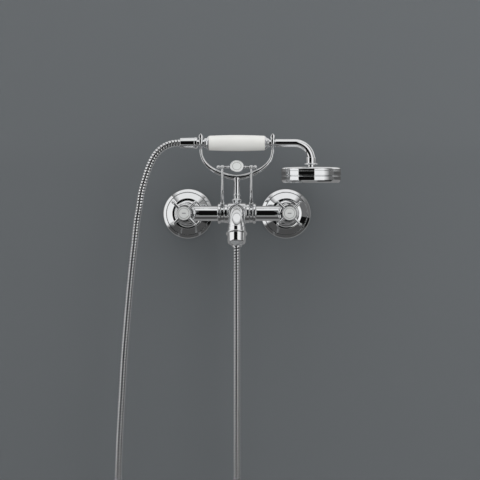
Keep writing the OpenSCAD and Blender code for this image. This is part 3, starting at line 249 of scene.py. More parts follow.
ALONG_X = turn(90, "Y")
OUT_OF_WALL = turn(90, "X")
DOWN = turn(180, "X")
AT_BODY = Matrix.Translation(BODY_AXIS)
AT_COLUMN = AT_BODY @ shift(0, -COLUMN_OUT, 0)
AT_HANDSET = (
    AT_BODY @ shift(0, -COLUMN_OUT, HANDSET_HEIGHT) @ Matrix.Rotation(HANDSET_ROLL, 4, "X")
)
AT_HEAD = AT_HANDSET @ shift(HEAD_X, 0, 0) @ DOWN
AT_BAR = AT_BODY @ shift(0, -BAR_OUT, BAR_HEIGHT)
AT_KNOB = AT_BAR @ Matrix.Rotation(math.pi / 2 - KNOB_TILT, 4, "X")
AT_SPOUT_TIP = (
    AT_BODY @ shift(0, -SPOUT_RUN, -SPOUT_BEND_R) @ Matrix.Rotation(SPOUT_BEND, 4, "X")
    @ shift(0, 0, SPOUT_BEND_R) @ turn(-90, "X")
)


def at_inlet(side):
    """Axis of one valve: local +Z points out of the wall, from the wall face."""
    return shift(side * INLET_X, 0, BODY_RISE) @ OUT_OF_WALL


def along_tube(side):
    """Axis of the body tube: local +Z points outwards on the given side."""
    return AT_BODY @ turn(90 * side, "Y")


def arc(centre, radius, start, end, steps):
    """Points of a round stretch of a profile, between two angles in degrees."""
    angles = [math.radians(start + (end - start) * i / steps) for i in range(steps + 1)]
    return [(centre[0] + radius * math.cos(a), centre[1] + radius * math.sin(a), 0) for a in angles]


def eased(profile, ease):
    """Profile with rounded corners: a point is (radius, along) or (radius, along, its own rounding)."""
    corners = [Vector(point[:2]) for point in profile]
    last = len(corners) - 1
    loop = corners[0].x > ON_AXIS and corners[last].x > ON_AXIS
    points = []
    for i, corner in enumerate(corners):
        rounding = profile[i][2] if len(profile[i]) > 2 else ease
        if rounding == 0 or (not loop and i in (0, last)):
            points.append(corner)
            continue
        before = corners[i - 1] - corner
        after = corners[(i + 1) % len(corners)] - corner
        bend = math.pi - before.angle(after)
        if bend < EASE_BEND:
            points.append(corner)
            continue
        reach = min(rounding * math.tan(bend / 2), EASE_SHARE * before.length, EASE_SHARE * after.length)
        radius = reach / math.tan(bend / 2)
        halfway = (before.normalized() + after.normalized()).normalized()
        middle = corner + halfway * radius / math.cos(bend / 2)
        spoke = corner + before.normalized() * reach - middle
        sense = 1 if before.x * after.y - before.y * after.x < 0 else -1
        steps = max(2, math.ceil(bend / EASE_STEP))
        for k in range(steps + 1):
            a = sense * bend * k / steps
            points.append(middle + Vector((
                spoke.x * math.cos(a) - spoke.y * math.sin(a),
                spoke.x * math.sin(a) + spoke.y * math.cos(a),
            )))
    area = sum(p.x * q.y - q.x * p.y for p, q in zip(points, points[1:] + points[:1]))
    return (points if area > 0 else points[::-1]), loop


class Shape:
    """Surfaces of one piece, collected in millimetres in the model's frame."""

    # A ball's profile is round up to this angle from its middle
    BALL_END = 84
    BALL_STEPS = 28
    SHARP_EDGE = math.radians(25)

    def __init__(self):
        self.sizes = bpy.context.scene.mixer_sizes
        self.points = []
        self.normals = []
        self.faces = []
        self.exact = True

    def join(self, rings, closed=False):
        """Fills the bands between neighbouring rings of points."""
        for low, high in zip(rings, rings[1:] + (rings[:1] if closed else [])):
            for k in range(len(low)):
                n = (k + 1) % len(low)
                self.faces.append(list(dict.fromkeys((low[k], low[n], high[n], high[k]))))

    def turned(self, profile, place, across=None):
        """Adds a turned surface; with across, its outside is cut to a hexagon of that width."""
        outline, loop = eased(profile, self.sizes.edge_ease)
        count = self.sizes.turn_segments
        spin = place.to_3x3()
        last, none = len(outline) - 1, Vector((0, 0))
        rings = []
        for i, point in enumerate(outline):
            before = point - outline[i - 1] if loop or i > 0 else none
            after = outline[(i + 1) % len(outline)] - point if loop or i < last else none
            facing = Vector((before.y + after.y, -before.x - after.x))
            facing = facing.normalized() if facing.length > 1e-9 else Vector((1, 0))
            first = len(self.points)
            if point.x < ON_AXIS:
                self.points.append(place @ Vector((0, 0, point.y)))
                self.normals.append(spin @ Vector((0, 0, math.copysign(1, facing.y))))
                rings.append([first] * count)
                continue
            for k in range(count):
                a = 2 * math.pi * k / count
                radius = point.x
                if across is not None:
                    flat = across / 2 / math.cos(a % (math.pi / 3) - math.pi / 6)
                    radius = min(radius, flat)
                c, s = math.cos(a), math.sin(a)
                self.points.append(place @ Vector((radius * c, radius * s, point.y)))
                self.normals.append(spin @ Vector((facing.x * c, facing.x * s, facing.y)))
            rings.append(list(range(first, first + count)))
        self.exact = self.exact and across is None
        self.join(rings, loop)
        return self

    def swept(self, path, halves, place, aside, sides=48, squareness=2.0):
        """Adds a bent bar; halves gives its half width along aside and its half thickness at each point."""
        aside = Vector(aside)
        spin = place.to_3x3()
        rings = []
        for i, centre in enumerate(path):
            ahead = (path[min(i + 1, len(path) - 1)] - path[max(i - 1, 0)]).normalized()
            wide = (aside - aside.dot(ahead) * ahead).normalized()
            thick = ahead.cross(wide)
            half_w, half_t = halves[i]
            first = len(self.points)
            for k in range(sides):
                a = 2 * math.pi * k / sides
                c = math.copysign(abs(math.cos(a)) ** (2 / squareness), math.cos(a))
                s = math.copysign(abs(math.sin(a)) ** (2 / squareness), math.sin(a))
                self.points.append(place @ (centre + half_w * c * wide + half_t * s * thick))
                facing = math.cos(a) / half_w * wide + math.sin(a) / half_t * thick
                self.normals.append((spin @ facing).normalized())
            rings.append(list(range(first, first + sides)))
        self.join(rings)
        start = spin @ (path[0] - path[1]).normalized()
        end = spin @ (path[-1] - path[-2]).normalized()
        for ring, facing, flip in ((rings[0], start, -1), (rings[-1], end, 1)):
            first = len(self.points)
            self.points.extend(self.points[k] for k in ring)
            self.normals.extend([facing] * sides)
            self.faces.append(list(range(first, first + sides))[::flip])
        return self

    def ball(self, centre, radius, place):
        """Adds a round ball."""
        bow = arc((0, 0), radius, -self.BALL_END, self.BALL_END, self.BALL_STEPS)
        return self.turned([(0, -radius, 0), *bow, (0, radius, 0)], place @ shift(*centre))

    def build(self, name, material):
        """Makes the mesh object, with the true normals of its turned and bent surfaces."""
        piece = new_object(name, [point * MM for point in self.points], self.faces, material)
        mesh = piece.data
        mesh.polygons.foreach_set("use_smooth", [True] * len(mesh.polygons))
        if self.exact:
            mesh.normals_split_custom_set_from_vertices([tuple(n) for n in self.normals])
        else:
            mesh.set_sharp_from_angle(angle=self.SHARP_EDGE)
        mesh.update()
        return piece


def new_object(name, points, faces, material):
    """Mesh object in the scene, in one material."""
    mesh = bpy.data.meshes.new(name)
    mesh.from_pydata(points, [], faces)
    mesh.materials.append(material)
    made = bpy.data.objects.new(name, mesh)
    bpy.context.scene.collection.objects.link(made)
    return made


def shaded(mesh, name, shades):
    """Gives each point of a mesh its grey shade, as a named colour attribute."""
    colours = [channel for shade in shades for channel in (shade, shade, shade, 1.0)]
    mesh.color_attributes.new(name, "FLOAT_COLOR", "POINT").data.foreach_set("color", colours)


def dress(node, shape, mark=None):
    """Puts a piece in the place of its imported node, in the same finish; or adds a mark on the node."""
    piece = shape.build(f"{node}_{mark or 'finish'}", finish("mark") if mark else finish_of(node))
    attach(piece, BODY_OF[node])
    if not mark:
        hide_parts(node)


def painted_ring(shape, inner, outer, low, place):
    """Adds a thin ring of paint that fills a groove and laps into its sides."""
    inner, outer, top = inner - PAINT_LAP, outer + PAINT_LAP, low + PAINT_T
    return shape.turned([(inner, low, 0), (outer, low, 0), (outer, top, 0), (inner, top, 0)], place)


def hexagon(across, low, top, run, rise, steps):
    """Profile of a hexagon's outside, with its corners cut in steps of run and rise at both ends."""
    corner = across / math.sqrt(3)
    slope = [(corner - run * (steps - i), rise * i) for i in range(steps + 1)]
    return [(r, low + along, 0) for r, along in slope] + [(r, top - along, 0) for r, along in slope[::-1]]


class MixerSizes(bpy.types.PropertyGroup):
    """Sizes of the fine forms."""

    turn_segments: IntProperty(
        name="Turned segments", description="Segments round a turned piece",
        default=96, min=24, max=192, step=6,
    )
    edge_ease: FloatProperty(
        name="Edge ease", description="Rounding of a turned edge, in millimetres",
        default=0.22, min=0.02, max=1.0,
    )
    rib_pitch: FloatProperty(
        name="Rib pitch", description="Length of one turn of the hose's spiral, in millimetres",
        default=4.2, min=1.5, max=6.0,
    )
    rib_depth: FloatProperty(
        name="Rib depth", description="Depth of the groove between two ribs, in millimetres",
        default=1.3, min=0.2, max=1.8,
    )
    hose_sides: IntProperty(
        name="Hose sides", description="Points round one turn of the hose", default=24, min=8, max=48,
    )


class MixerFinishes(bpy.types.PropertyGroup):
    """Colours of the finishes."""

    chrome: FloatVectorProperty(
        name="Chrome", description="Polished plating", subtype="COLOR", size=4,
        default=(0.80, 0.81, 0.82, 1), min=0, max=1,
    )
    # Colour of the painted shade in the hose's grooves between its ribs
    groove: FloatVectorProperty(
        name="Groove", description="Hose between its ribs", subtype="COLOR", size=4,
        default=(0.05, 0.051, 0.053, 1), min=0, max=1,
    )
    porcelain: FloatVectorProperty(
        name="Porcelain", description="Glazed grip", subtype="COLOR", size=4,
        default=(0.80, 0.795, 0.765, 1), min=0, max=1,
    )
    enamel: FloatVectorProperty(
        name="Enamel", description="Plates in the hubs and the knob", subtype="COLOR", size=4,
        default=(0.64, 0.65, 0.64, 1), min=0, max=1,
    )
    mark: FloatVectorProperty(
        name="Mark", description="Lines and index bars on the plates", subtype="COLOR", size=4,
        default=(0.12, 0.12, 0.13, 1), min=0, max=1,
    )
    brass: FloatVectorProperty(
        name="Brass", description="Unplated inner pieces", subtype="COLOR", size=4,
        default=(0.72, 0.52, 0.24, 1), min=0, max=1,
    )
    rubber: FloatVectorProperty(
        name="Rubber", description="Seals and spray nozzles", subtype="COLOR", size=4,
        default=(0.06, 0.06, 0.065, 1), min=0, max=1,
    )
    ceramic: FloatVectorProperty(
        name="Ceramic", description="Valve discs", subtype="COLOR", size=4,
        default=(0.88, 0.88, 0.86, 1), min=0, max=1,
    )
    plastic: FloatVectorProperty(
        name="Plastic", description="Aerator and non-return cages", subtype="COLOR", size=4,
        default=(0.62, 0.63, 0.64, 1), min=0, max=1,
    )


class MixerStage(bpy.types.PropertyGroup):
    """Camera and light."""

    camera_away: FloatProperty(
        name="Camera distance", description="Wall to the camera", default=1.45, min=0.5, unit="LENGTH",
    )
    camera_aside: FloatProperty(
        name="Camera aside", description="Camera to the right of the middle", default=0.0047, unit="LENGTH",
    )
    camera_rise: FloatProperty(
        name="Camera height", description="Camera above the inlets", default=-0.002, unit="LENGTH",
    )
    lens: FloatProperty(name="Lens", description="Focal length in millimetres", default=70.9, min=20)
    frame_shift: FloatProperty(
        name="Frame shift", description="Shift of the frame, as a share of its width", default=-0.044,
    )
    wall: FloatVectorProperty(
        name="Wall", description="Backdrop",
        subtype="COLOR", size=4, default=(0.13, 0.14, 0.147, 1), min=0, max=1,
    )
    floor: FloatVectorProperty(
        name="Floor", description="Floor",
        subtype="COLOR", size=4, default=(0.72, 0.72, 0.71, 1), min=0, max=1,
    )
    floor_height: FloatProperty(
        name="Floor height", description="Floor above the inlets", default=-0.75, unit="LENGTH",
    )
    overhead: FloatProperty(
        name="Overhead box", description="Brightness of the box above", default=1.25, min=0,
    )
    right_box: FloatProperty(
        name="Right box", description="Brightness of the box at the right", default=1.15, min=0,
    )
    left_box: FloatProperty(
        name="Left box", description="Brightness of the box at the left", default=1.1, min=0,
    )
    surround: FloatProperty(name="Surround", description="Brightness of the pale room", default=0.5, min=0)
    overhead_face: FloatProperty(
        name="Overhead face", description="Shade of the box above as the metal mirrors it",
        default=0.95, min=0,
    )
    right_face: FloatProperty(
        name="Right face", description="Shade of the box at the right as the metal mirrors it",
        default=1.0, min=0,
    )
    left_face: FloatProperty(
        name="Left face", description="Shade of the box at the left as the metal mirrors it",
        default=1.0, min=0,
    )
    drape: FloatProperty(
        name="Drape", description="Shade of the dark drape as the metal mirrors it", default=0.005, min=0,
    )
    near_floor: FloatProperty(
        name="Near floor", description="Shade of the floor below as the metal mirrors it",
        default=0.08, min=0,
    )
    floor_band: FloatProperty(
        name="Floor band", description="Shade of the floor in front as the metal mirrors it",
        default=0.3, min=0,
    )
    wall_foot: FloatProperty(
        name="Wall foot", description="Shade of the lower wall as the metal mirrors it", default=0.26, min=0,
    )
    wall_band: FloatProperty(
        name="Wall band", description="Shade of the wall behind the bail as the metal mirrors it",
        default=0.1, min=0,
    )
    wall_face: FloatProperty(
        name="Wall face", description="Shade of the upper wall as the metal mirrors it", default=0.8, min=0,
    )


def wire(tree, *links):
    """Joins sockets: a link is a node, its output, the next node and its input."""
    for start, output, end, entry in links:
        tree.links.new(start.outputs[output], end.inputs[entry])


def new_group(name, detail, inputs, output, kind):
    """Shader node group with noise over the piece's own coordinates, at the group's Scale."""
    group = bpy.data.node_groups.new(name, "ShaderNodeTree")
    for title, input_kind in {"Scale": "Float", **inputs}.items():
        group.interface.new_socket(name=title, in_out="INPUT", socket_type="NodeSocket" + input_kind)
    group.interface.new_socket(name=output, in_out="OUTPUT", socket_type="NodeSocket" + kind)
    entry = group.nodes.new("NodeGroupInput")
    leave = group.nodes.new("NodeGroupOutput")
    coordinates = group.nodes.new("ShaderNodeTexCoord")
    noise = group.nodes.new("ShaderNodeTexNoise")
    noise.inputs["Detail"].default_value = detail
    wire(group, (coordinates, "Object", noise, "Vector"), (entry, "Scale", noise, "Scale"))
    return group, entry, leave, noise


def haze_group():
    """Roughness that drifts between wiped and hazy patches."""
    group, entry, leave, noise = new_group(
        "polish_haze", 4.0, {"Clean": "Float", "Hazy": "Float"}, "Roughness", "Float",
    )
    spread = group.nodes.new("ShaderNodeMapRange")
    spread.inputs["From Min"].default_value = 0.38
    spread.inputs["From Max"].default_value = 0.68
    wire(
        group, (noise, "Fac", spread, "Value"), (entry, "Clean", spread, "To Min"),
        (entry, "Hazy", spread, "To Max"), (spread, "Result", leave, "Roughness"),
    )
    return group


def tone_group():
    """Colour that drifts between two close tones."""
    group, entry, leave, noise = new_group(
        "tone_drift", 3.0, {"Light": "Color", "Deep": "Color"}, "Color", "Color",
    )
    mix = group.nodes.new("ShaderNodeMix")
    mix.data_type = "RGBA"
    wire(
        group, (noise, "Fac", mix, "Factor"), (entry, "Light", mix, "A"), (entry, "Deep", mix, "B"),
        (mix, "Result", leave, "Color"),
    )
    return group


def ripple_group():
    """Faint unevenness of a polished, glazed or moulded surface."""
    group, entry, leave, noise = new_group("surface_ripple", 2.0, {"Strength": "Float"}, "Normal", "Vector")
    bump = group.nodes.new("ShaderNodeBump")
    bump.inputs["Distance"].default_value = 0.0002
    wire(
        group, (entry, "Strength", bump, "Strength"), (noise, "Fac", bump, "Height"),
        (bump, "Normal", leave, "Normal"),
    )
    return group


def place_group(material, name, make, output, target, values):
    """Puts a shared group, which is made once, in a material with its own values."""
    node = material.node_tree.nodes.new("ShaderNodeGroup")
    node.node_tree = bpy.data.node_groups.get(name) or make()
    for title, value in values.items():
        node.inputs[title].default_value = value
    wire(material.node_tree, (node, output, material.node_tree.nodes["Principled BSDF"], target))


def new_finish(name, shown, tone, haze, ripple, metallic, coat):
    """Finish whose colour, roughness and surface vary as the real one's do."""
    light = getattr(bpy.context.scene.mixer_finishes, shown)
    deep = [channel * tone[1] for channel in light[:3]] + [1]
    material = bpy.data.materials.new(name)
    material.use_nodes = True
    shader = material.node_tree.nodes["Principled BSDF"]
    shader.inputs["Metallic"].default_value = metallic
    shader.inputs["Coat Weight"].default_value = coat
    place_group(
        material, "tone_drift", tone_group, "Color", "Base Color",
        {"Scale": tone[0], "Light": light, "Deep": deep},
    )
    place_group(
        material, "polish_haze", haze_group, "Roughness", "Roughness",
        {"Scale": haze[0], "Clean": haze[1], "Hazy": haze[2]},
    )
    place_group(
        material, "surface_ripple", ripple_group, "Normal", "Normal",
        {"Scale": ripple[0], "Strength": ripple[1]},
    )
    return material


def paint_groove_shade(material):
    """Paints shade into the hose's colour in the grooves between its ribs, where shade falls."""
    tree = material.node_tree
    shader = tree.nodes["Principled BSDF"]
    groove = tree.nodes.new("ShaderNodeAttribute")
    groove.attribute_name = "groove"
    mix = tree.nodes.new("ShaderNodeMix")
    mix.data_type = "RGBA"
    mix.inputs["B"].default_value = bpy.context.scene.mixer_finishes.groove
    tree.links.new(shader.inputs["Base Color"].links[0].from_socket, mix.inputs["A"])
    wire(tree, (groove, "Fac", mix, "Factor"), (mix, "Result", shader, "Base Color"))


# By slot: material, its colour, scale and depth of its tones, scale and range of its roughness,
# scale and strength of its ripple, how metallic and how coated it is
FINISH_LOOKS = {
    "chrome": ("polished_chrome", "chrome", (25, 0.94), (60, 0.03, 0.065), (90, 0.02), 1, 0),
    "hose_metal": ("hose_strip", "chrome", (70, 0.9), (160, 0.05, 0.1), (600, 0.03), 1, 0),
    "porcelain": ("glazed_porcelain", "porcelain", (35, 0.97), (50, 0.10, 0.18), (70, 0.05), 0, 0.4),
    "enamel": ("plate_enamel", "enamel", (120, 0.95), (150, 0.16, 0.26), (300, 0.05), 0, 0),
    "mark": ("mark_paint", "mark", (400, 0.8), (400, 0.3, 0.45), (900, 0.1), 0, 0),
    "brass": ("bare_brass", "brass", (90, 0.82), (140, 0.18, 0.34), (500, 0.12), 1, 0),
    "rubber": ("soft_rubber", "rubber", (200, 0.7), (260, 0.55, 0.75), (900, 0.3), 0, 0),
    "disc": ("lapped_ceramic", "ceramic", (150, 0.96), (200, 0.2, 0.3), (700, 0.06), 0, 0),
    "plastic": ("moulded_plastic", "plastic", (130, 0.93), (220, 0.35, 0.5), (800, 0.16), 0, 0),
}
FINISHES = {}


def finish(slot):
    """The material of a slot, made once."""
    if slot not in FINISHES:
        FINISHES[slot] = new_finish(*FINISH_LOOKS[slot])
        # The hose's strip gets painted shade in its grooves
        if slot == "hose_metal":
            paint_groove_shade(FINISHES[slot])
    return FINISHES[slot]


def finish_of(node):
    """The material of a node's slot."""
    return finish(SLOT_OF[node])


class MIXER_OT_stage(bpy.types.Operator):
    """Sets up the camera, the plain wall and floor and the studio boxes"""

    bl_idname = "mixer.stage"
    bl_label = "Stage"

    # Metres: half the room's width and its height, and where the wall and the card before it stand
    ROOM_HALF = 4.0
    ROOM_TOP = 3.5
    WALL_Y = 0.0004
    CARD_Y = 0.0002
    CARD_HALF = 1.5
    # Steps round a card that is bent round the mixer, and round an opening in the wall
    ROUND_STEPS = 48

    def execute(self, context):
        stage = context.scene.mixer_stage
        context.scene.view_settings.view_transform = "Standard"
        self.add_camera(context, stage)
        self.add_room(stage)
        self.hang_cards(stage)
        self.light_room(context, stage)
        return {"FINISHED"}

    def add_camera(self, context, stage):
        data = bpy.data.cameras.new("front_camera")
        data.lens = stage.lens
        data.shift_y = stage.frame_shift
        camera = bpy.data.objects.new("front_camera", data)
        camera.location = (stage.camera_aside, -stage.camera_away, stage.camera_rise)
        camera.rotation_euler = (math.pi / 2, 0, 0)
        context.scene.collection.objects.link(camera)
        context.scene.camera = camera

    def add_room(self, stage):
        half, low = self.ROOM_HALF, stage.floor_height
        loops = self.wall_loops(half, low, self.ROOM_TOP)
        corners = [(x, self.WALL_Y, z) for loop in loops for x, z in loop]
        paint = self.plain_paint("wall_paint", stage.wall, see_through_back=True)
        new_object("backdrop_wall", corners, self.fours(corners), paint)
        corners = [(-half, -half, low), (half, -half, low), (half, half, low), (-half, half, low)]
        paint = self.plain_paint("floor_paint", stage.floor)
        new_object("pale_floor", corners, self.fours(corners), paint)

    def fours(self, corners):
        """Faces of every four corners in turn."""
        return [range(first, first + 4) for first in range(0, len(corners), 4)]

    def rectangle(self, left, right, low, top):
        return [(left, low), (right, low), (right, top), (left, top)]

    def wall_loops(self, half, low, top):
        """Four-cornered pieces of the wall, which is open behind each rosette for its pipe."""
        out, panel, hole = INLET_X * MM, (ROSETTE_R + 2) * MM, (ROSETTE_R - 4) * MM
        foot, head = BODY_RISE * MM - panel, BODY_RISE * MM + panel
        loops = [
            self.rectangle(-half, half, low, foot), self.rectangle(-half, half, head, top),
            self.rectangle(-half, -out - panel, foot, head), self.rectangle(out + panel, half, foot, head),
            self.rectangle(panel - out, out - panel, foot, head),
        ]
        for k in range(self.ROUND_STEPS):
            rays = [2 * math.pi * turned / self.ROUND_STEPS for turned in (k, k + 1)]
            (c, s), (d, t) = [(math.cos(a), math.sin(a)) for a in rays]
            near, far = [panel / max(abs(x), abs(z)) for x, z in ((c, s), (d, t))]
            piece = [(hole * c, hole * s), (near * c, near * s), (far * d, far * t), (hole * d, hole * t)]
            for centre in (-out, out):
                loops.append([(centre + x, BODY_RISE * MM + z) for x, z in piece])
        return loops

    def hang_cards(self, stage):
        """Hangs what the polished metal mirrors: dark drapes, the soft boxes' faces, floor and wall."""
        low = stage.floor_height + 0.01
        near = low + 0.005
        far, edge, roof, top = 2.4, 1.7, 1.5, 2.05
        dark, band, deep = stage.drape, stage.floor_band, stage.near_floor
        self.add_card("drape", [(edge, low, dark), (far, low, dark), (far, 3.0, dark)], (-125, 125))
        self.add_card("floor_card", [
            (0.02, low, deep), (1.2, low, deep), (1.5, low, dark), (edge, low, dark),
        ], (-95, 95))
        self.add_card("floor_band", [
            (0.6, near, deep), (0.75, near, band), (1.25, near, band), (1.45, near, dark),
        ], (-42, 30))
        lit = stage.overhead_face
        self.add_card("overhead_face", [(1.75, roof, dark), (1.1, roof, lit), (0.02, roof, lit)], (-95, 95))
        lit = stage.right_face
        foot, fall_from, fall, least = -0.25, 46, 0.036, 0.16
        self.add_card(
            "right_face", [(edge, foot, lit), (edge, top, lit)], (12, 92),
            lambda az: max(least, 1 - fall * max(0, az - fall_from)),
        )
        self.add_card("right_foot", [(edge, near, lit), (edge, foot, lit)], (12, 50))
        lit = stage.left_face
        self.add_card("left_face", [(1.25, near, deep), (edge, near, lit), (edge, top, lit)], (-92, -49))
        self.add_card("left_corner", [(edge, 0.75, lit), (edge, top, lit)], (-49, -36))
        plain, band, lit = stage.wall_foot, stage.wall_band, stage.wall_face
        self.add_wall_card(low, [
            (0.047, plain), (0.051, band), (0.078, band), (0.112, lit), (0.7, lit), (1.2, plain),
        ])

    def add_card(self, name, profile, sweep, fade=lambda az: 1):
        """Hangs a card bent round the mixer; a profile point is its radius, its height and its shade."""
        corners, shades, faces = [], [], []
        for k in range(self.ROUND_STEPS + 1):
            az = sweep[0] + (sweep[1] - sweep[0]) * k / self.ROUND_STEPS
            a = math.radians(az)
            for radius, height, shade in profile:
                corners.append((radius * math.sin(a), -radius * math.cos(a), height))
                shades.append(shade * fade(az))
        rows = len(profile)
        for k in range(self.ROUND_STEPS):
            for first in range(k * rows, (k + 1) * rows - 1):
                faces.append((first, first + rows, first + rows + 1, first + 1))
        self.hang(name, corners, shades, faces)

    def add_wall_card(self, low, rows):
        """Hangs a card just before the wall; a row is a height and its shade, and the first goes on down."""
        half = self.CARD_HALF
        foot, plain = rows[0]
        loops = self.wall_loops(half, low, foot)
        for (lower, _), (upper, _) in zip(rows, rows[1:]):
            loops.append(self.rectangle(-half, half, lower, upper))
        corners = [(x, self.CARD_Y, z) for loop in loops for x, z in loop]
        shade_at = dict(rows)
        shades = [shade_at.get(z, plain) for _, _, z in corners]
        self.hang("wall_card", corners, shades, self.fours(corners))

    def hang(self, name, corners, shades, faces):
        """Makes a card that only the polished metal mirrors."""
        card = new_object(name, corners, faces, bpy.data.materials.get("card_glow") or self.glow_paint())
        shaded(card.data, "glow", shades)
        card.visible_camera = False
        card.visible_diffuse = False
        card.visible_shadow = False

    def glow_paint(self):
        """Paint that glows as strongly as the card's own shade."""
        material = bpy.data.materials.new("card_glow")
        material.use_nodes = True
        tree = material.node_tree
        tree.nodes.remove(tree.nodes["Principled BSDF"])
        glow = tree.nodes.new("ShaderNodeAttribute")
        glow.attribute_name = "glow"
        light = tree.nodes.new("ShaderNodeEmission")
        output = tree.nodes["Material Output"]
        wire(tree, (glow, "Color", light, "Color"), (light, "Emission", output, "Surface"))
        return material

    def plain_paint(self, name, colour, see_through_back=False):
        """Dull paint of one colour; the wall's can be seen through from behind."""
        material = bpy.data.materials.new(name)
        material.use_nodes = True
        tree = material.node_tree
        shader = tree.nodes["Principled BSDF"]
        shader.inputs["Base Color"].default_value = colour
        shader.inputs["Roughness"].default_value = 0.9
        shader.inputs["Specular IOR Level"].default_value = 0.2
        if see_through_back:
            clear = tree.nodes.new("ShaderNodeBsdfTransparent")
            side = tree.nodes.new("ShaderNodeNewGeometry")
            mix = tree.nodes.new("ShaderNodeMixShader")
            wire(
                tree, (side, "Backfacing", mix, "Fac"), (shader, "BSDF", mix, 1), (clear, "BSDF", mix, 2),
                (mix, "Shader", tree.nodes["Material Output"], "Surface"),
            )
        return material

    def add_box(self, name, location, width, height, brightness):
        """Hangs a soft box that faces the mixer and that nothing mirrors."""
        middle = Vector((0.0, -0.06, 0.03))
        data = bpy.data.lights.new(name, "AREA")
        data.shape = "RECTANGLE"
        data.size = width
        data.size_y = height
        data.energy = brightness * math.pi * width * height
        box = bpy.data.objects.new(name, data)
        box.location = location
        box.rotation_euler = (middle - Vector(location)).to_track_quat("-Z", "Y").to_euler()
        box.visible_camera = False
        box.visible_glossy = False
        bpy.context.scene.collection.objects.link(box)

    def light_room(self, context, stage):
        self.add_box("overhead_box", (0.0, -0.85, 1.6), 3.0, 1.5, stage.overhead)
        self.add_box("right_box", (1.5, -1.15, 0.25), 2.0, 2.0, stage.right_box)
        self.add_box("left_box", (-1.75, -0.65, 0.3), 1.2, 2.0, stage.left_box)
        world = bpy.data.worlds.new("pale_room")
        world.use_nodes = True
        background = world.node_tree.nodes["Background"]
        background.inputs["Color"].default_value = (0.97, 0.98, 1.0, 1)
        background.inputs["Strength"].default_value = stage.surround
        context.scene.world = world


class HoseLine:
    """Smooth line along the hose's route, with a steady frame at any length along it."""

    STEP = 0.5
    SPAN_STEPS = 24

    def __init__(self, route):
        self.points = self.drawn(route)
        self.lengths = [0.0]
        for before, after in zip(self.points, self.points[1:]):
            self.lengths.append(self.lengths[-1] + (after - before).length)
        self.length = self.lengths[-1]
        self.build_frames()

    def drawn(self, route):
        points = [route[0]]
        for i in range(1, len(route) - 2):
            a, b, c, d = route[i - 1:i + 3]
            for k in range(self.SPAN_STEPS):
                t = k / self.SPAN_STEPS
                points.append((
                    2 * b + (c - a) * t + (2 * a - 5 * b + 4 * c - d) * t * t
                    + (3 * b - a - 3 * c + d) * t ** 3
                ) / 2)
        return points + route[-2:]

    def build_frames(self):
        count = math.ceil(self.length / self.STEP)
        self.pitch = self.length / count
        self.centres = []
        place = 0
        for k in range(count + 1):
            s = min(self.pitch * k, self.length)
            while place < len(self.lengths) - 2 and self.lengths[place + 1] < s:
                place += 1
            span = self.lengths[place + 1] - self.lengths[place]
            share = min((s - self.lengths[place]) / span, 1.0)
            self.centres.append(self.points[place].lerp(self.points[place + 1], share))
        last = len(self.centres) - 1
        self.ahead = [
            (self.centres[min(k + 2, last)] - self.centres[max(k - 2, 0)]).normalized()
            for k in range(last + 1)
        ]
        self.wide = [Vector((0, 1, 0))]
        for ahead in self.ahead[1:]:
            kept = self.wide[-1] - self.wide[-1].dot(ahead) * ahead
            self.wide.append(kept.normalized())

    def at(self, s, angle, radius):
        """Point at a length along the line, an angle round it and a radius from it."""
        k = min(int(s / self.pitch), len(self.centres) - 2)
        share = s / self.pitch - k
        centre = self.centres[k].lerp(self.centres[k + 1], share)
        ahead = self.ahead[k].lerp(self.ahead[k + 1], share).normalized()
        wide = self.wide[k].lerp(self.wide[k + 1], share)
        wide = (wide - wide.dot(ahead) * ahead).normalized()
        return centre + radius * (math.cos(angle) * wide + math.sin(angle) * ahead.cross(wide))


class MIXER_OT_hose(bpy.types.Operator):
    """Winds the spiral metal hose along its route"""

    bl_idname = "mixer.hose"
    bl_label = "Hose"

    # Share of one turn and share of the groove's depth, along one rib
    RIB = [
        (0.0, 1.0), (0.24, 1.0), (0.26, 0.5), (0.29, 0.2), (0.34, 0.05), (0.4, 0.0), (0.84, 0.0), (0.9, 0.05),
        (0.95, 0.2), (0.98, 0.5),
    ]
    PATH_EVERY = 8

    def execute(self, context):
        line = HoseLine(HOSE_ROUTE)
        points, shades, faces = self.wound(line, context.scene.mixer_sizes)
        hose = new_object("spiral_hose", [AT_BODY @ p * MM for p in points], faces, finish_of("hose"))
        # The groove colour attribute is the mask of painted shade, darkest at the grooves' bottoms
        shaded(hose.data, "groove", shades)
        hose.data.validate()
        hose.data.polygons.foreach_set("use_smooth", [True] * len(hose.data.polygons))
        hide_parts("hose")
        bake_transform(hose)
        return {"FINISHED"}

    def wound(self, line, sizes):
        """Points, painted groove shade and faces of the spiral; a row of points goes once round, one pitch along.
        """
        sides = sizes.hose_sides
        turns = round(line.length / sizes.rib_pitch)
        pitch = line.length / turns
        rows = [(pitch * (i + share), depth) for i in range(-1, turns) for share, depth in self.RIB]
        rows.append((line.length, 1.0))
        points, shades, faces = [], [], []
        for s, depth in rows:
            for k in range(sides):
                along = min(max(s + pitch * k / sides, 0.0), line.length)
                points.append(line.at(along, 2 * math.pi * k / sides, HOSE_R - sizes.rib_depth * depth))
                # Painted shade: none above a quarter of the groove's depth, full from three quarters down to its
                # bottom
                shades.append(min(max(2 * depth - 0.5, 0.0), 1.0))
        last = len(rows) - 1
        lead = len(self.RIB)
        for i in range(last):
            low, high = i * sides, (i + 1) * sides
            for k in range(sides - 1):
                faces.append([low + k, low + k + 1, high + k + 1, high + k])
            next_low, next_high = min(i + lead, last) * sides, min(i + 1 + lead, last) * sides
            faces.append([low + sides - 1, next_low, next_high, high + sides - 1])
        return points, shades, [face for face in faces if len(set(face)) > 2]


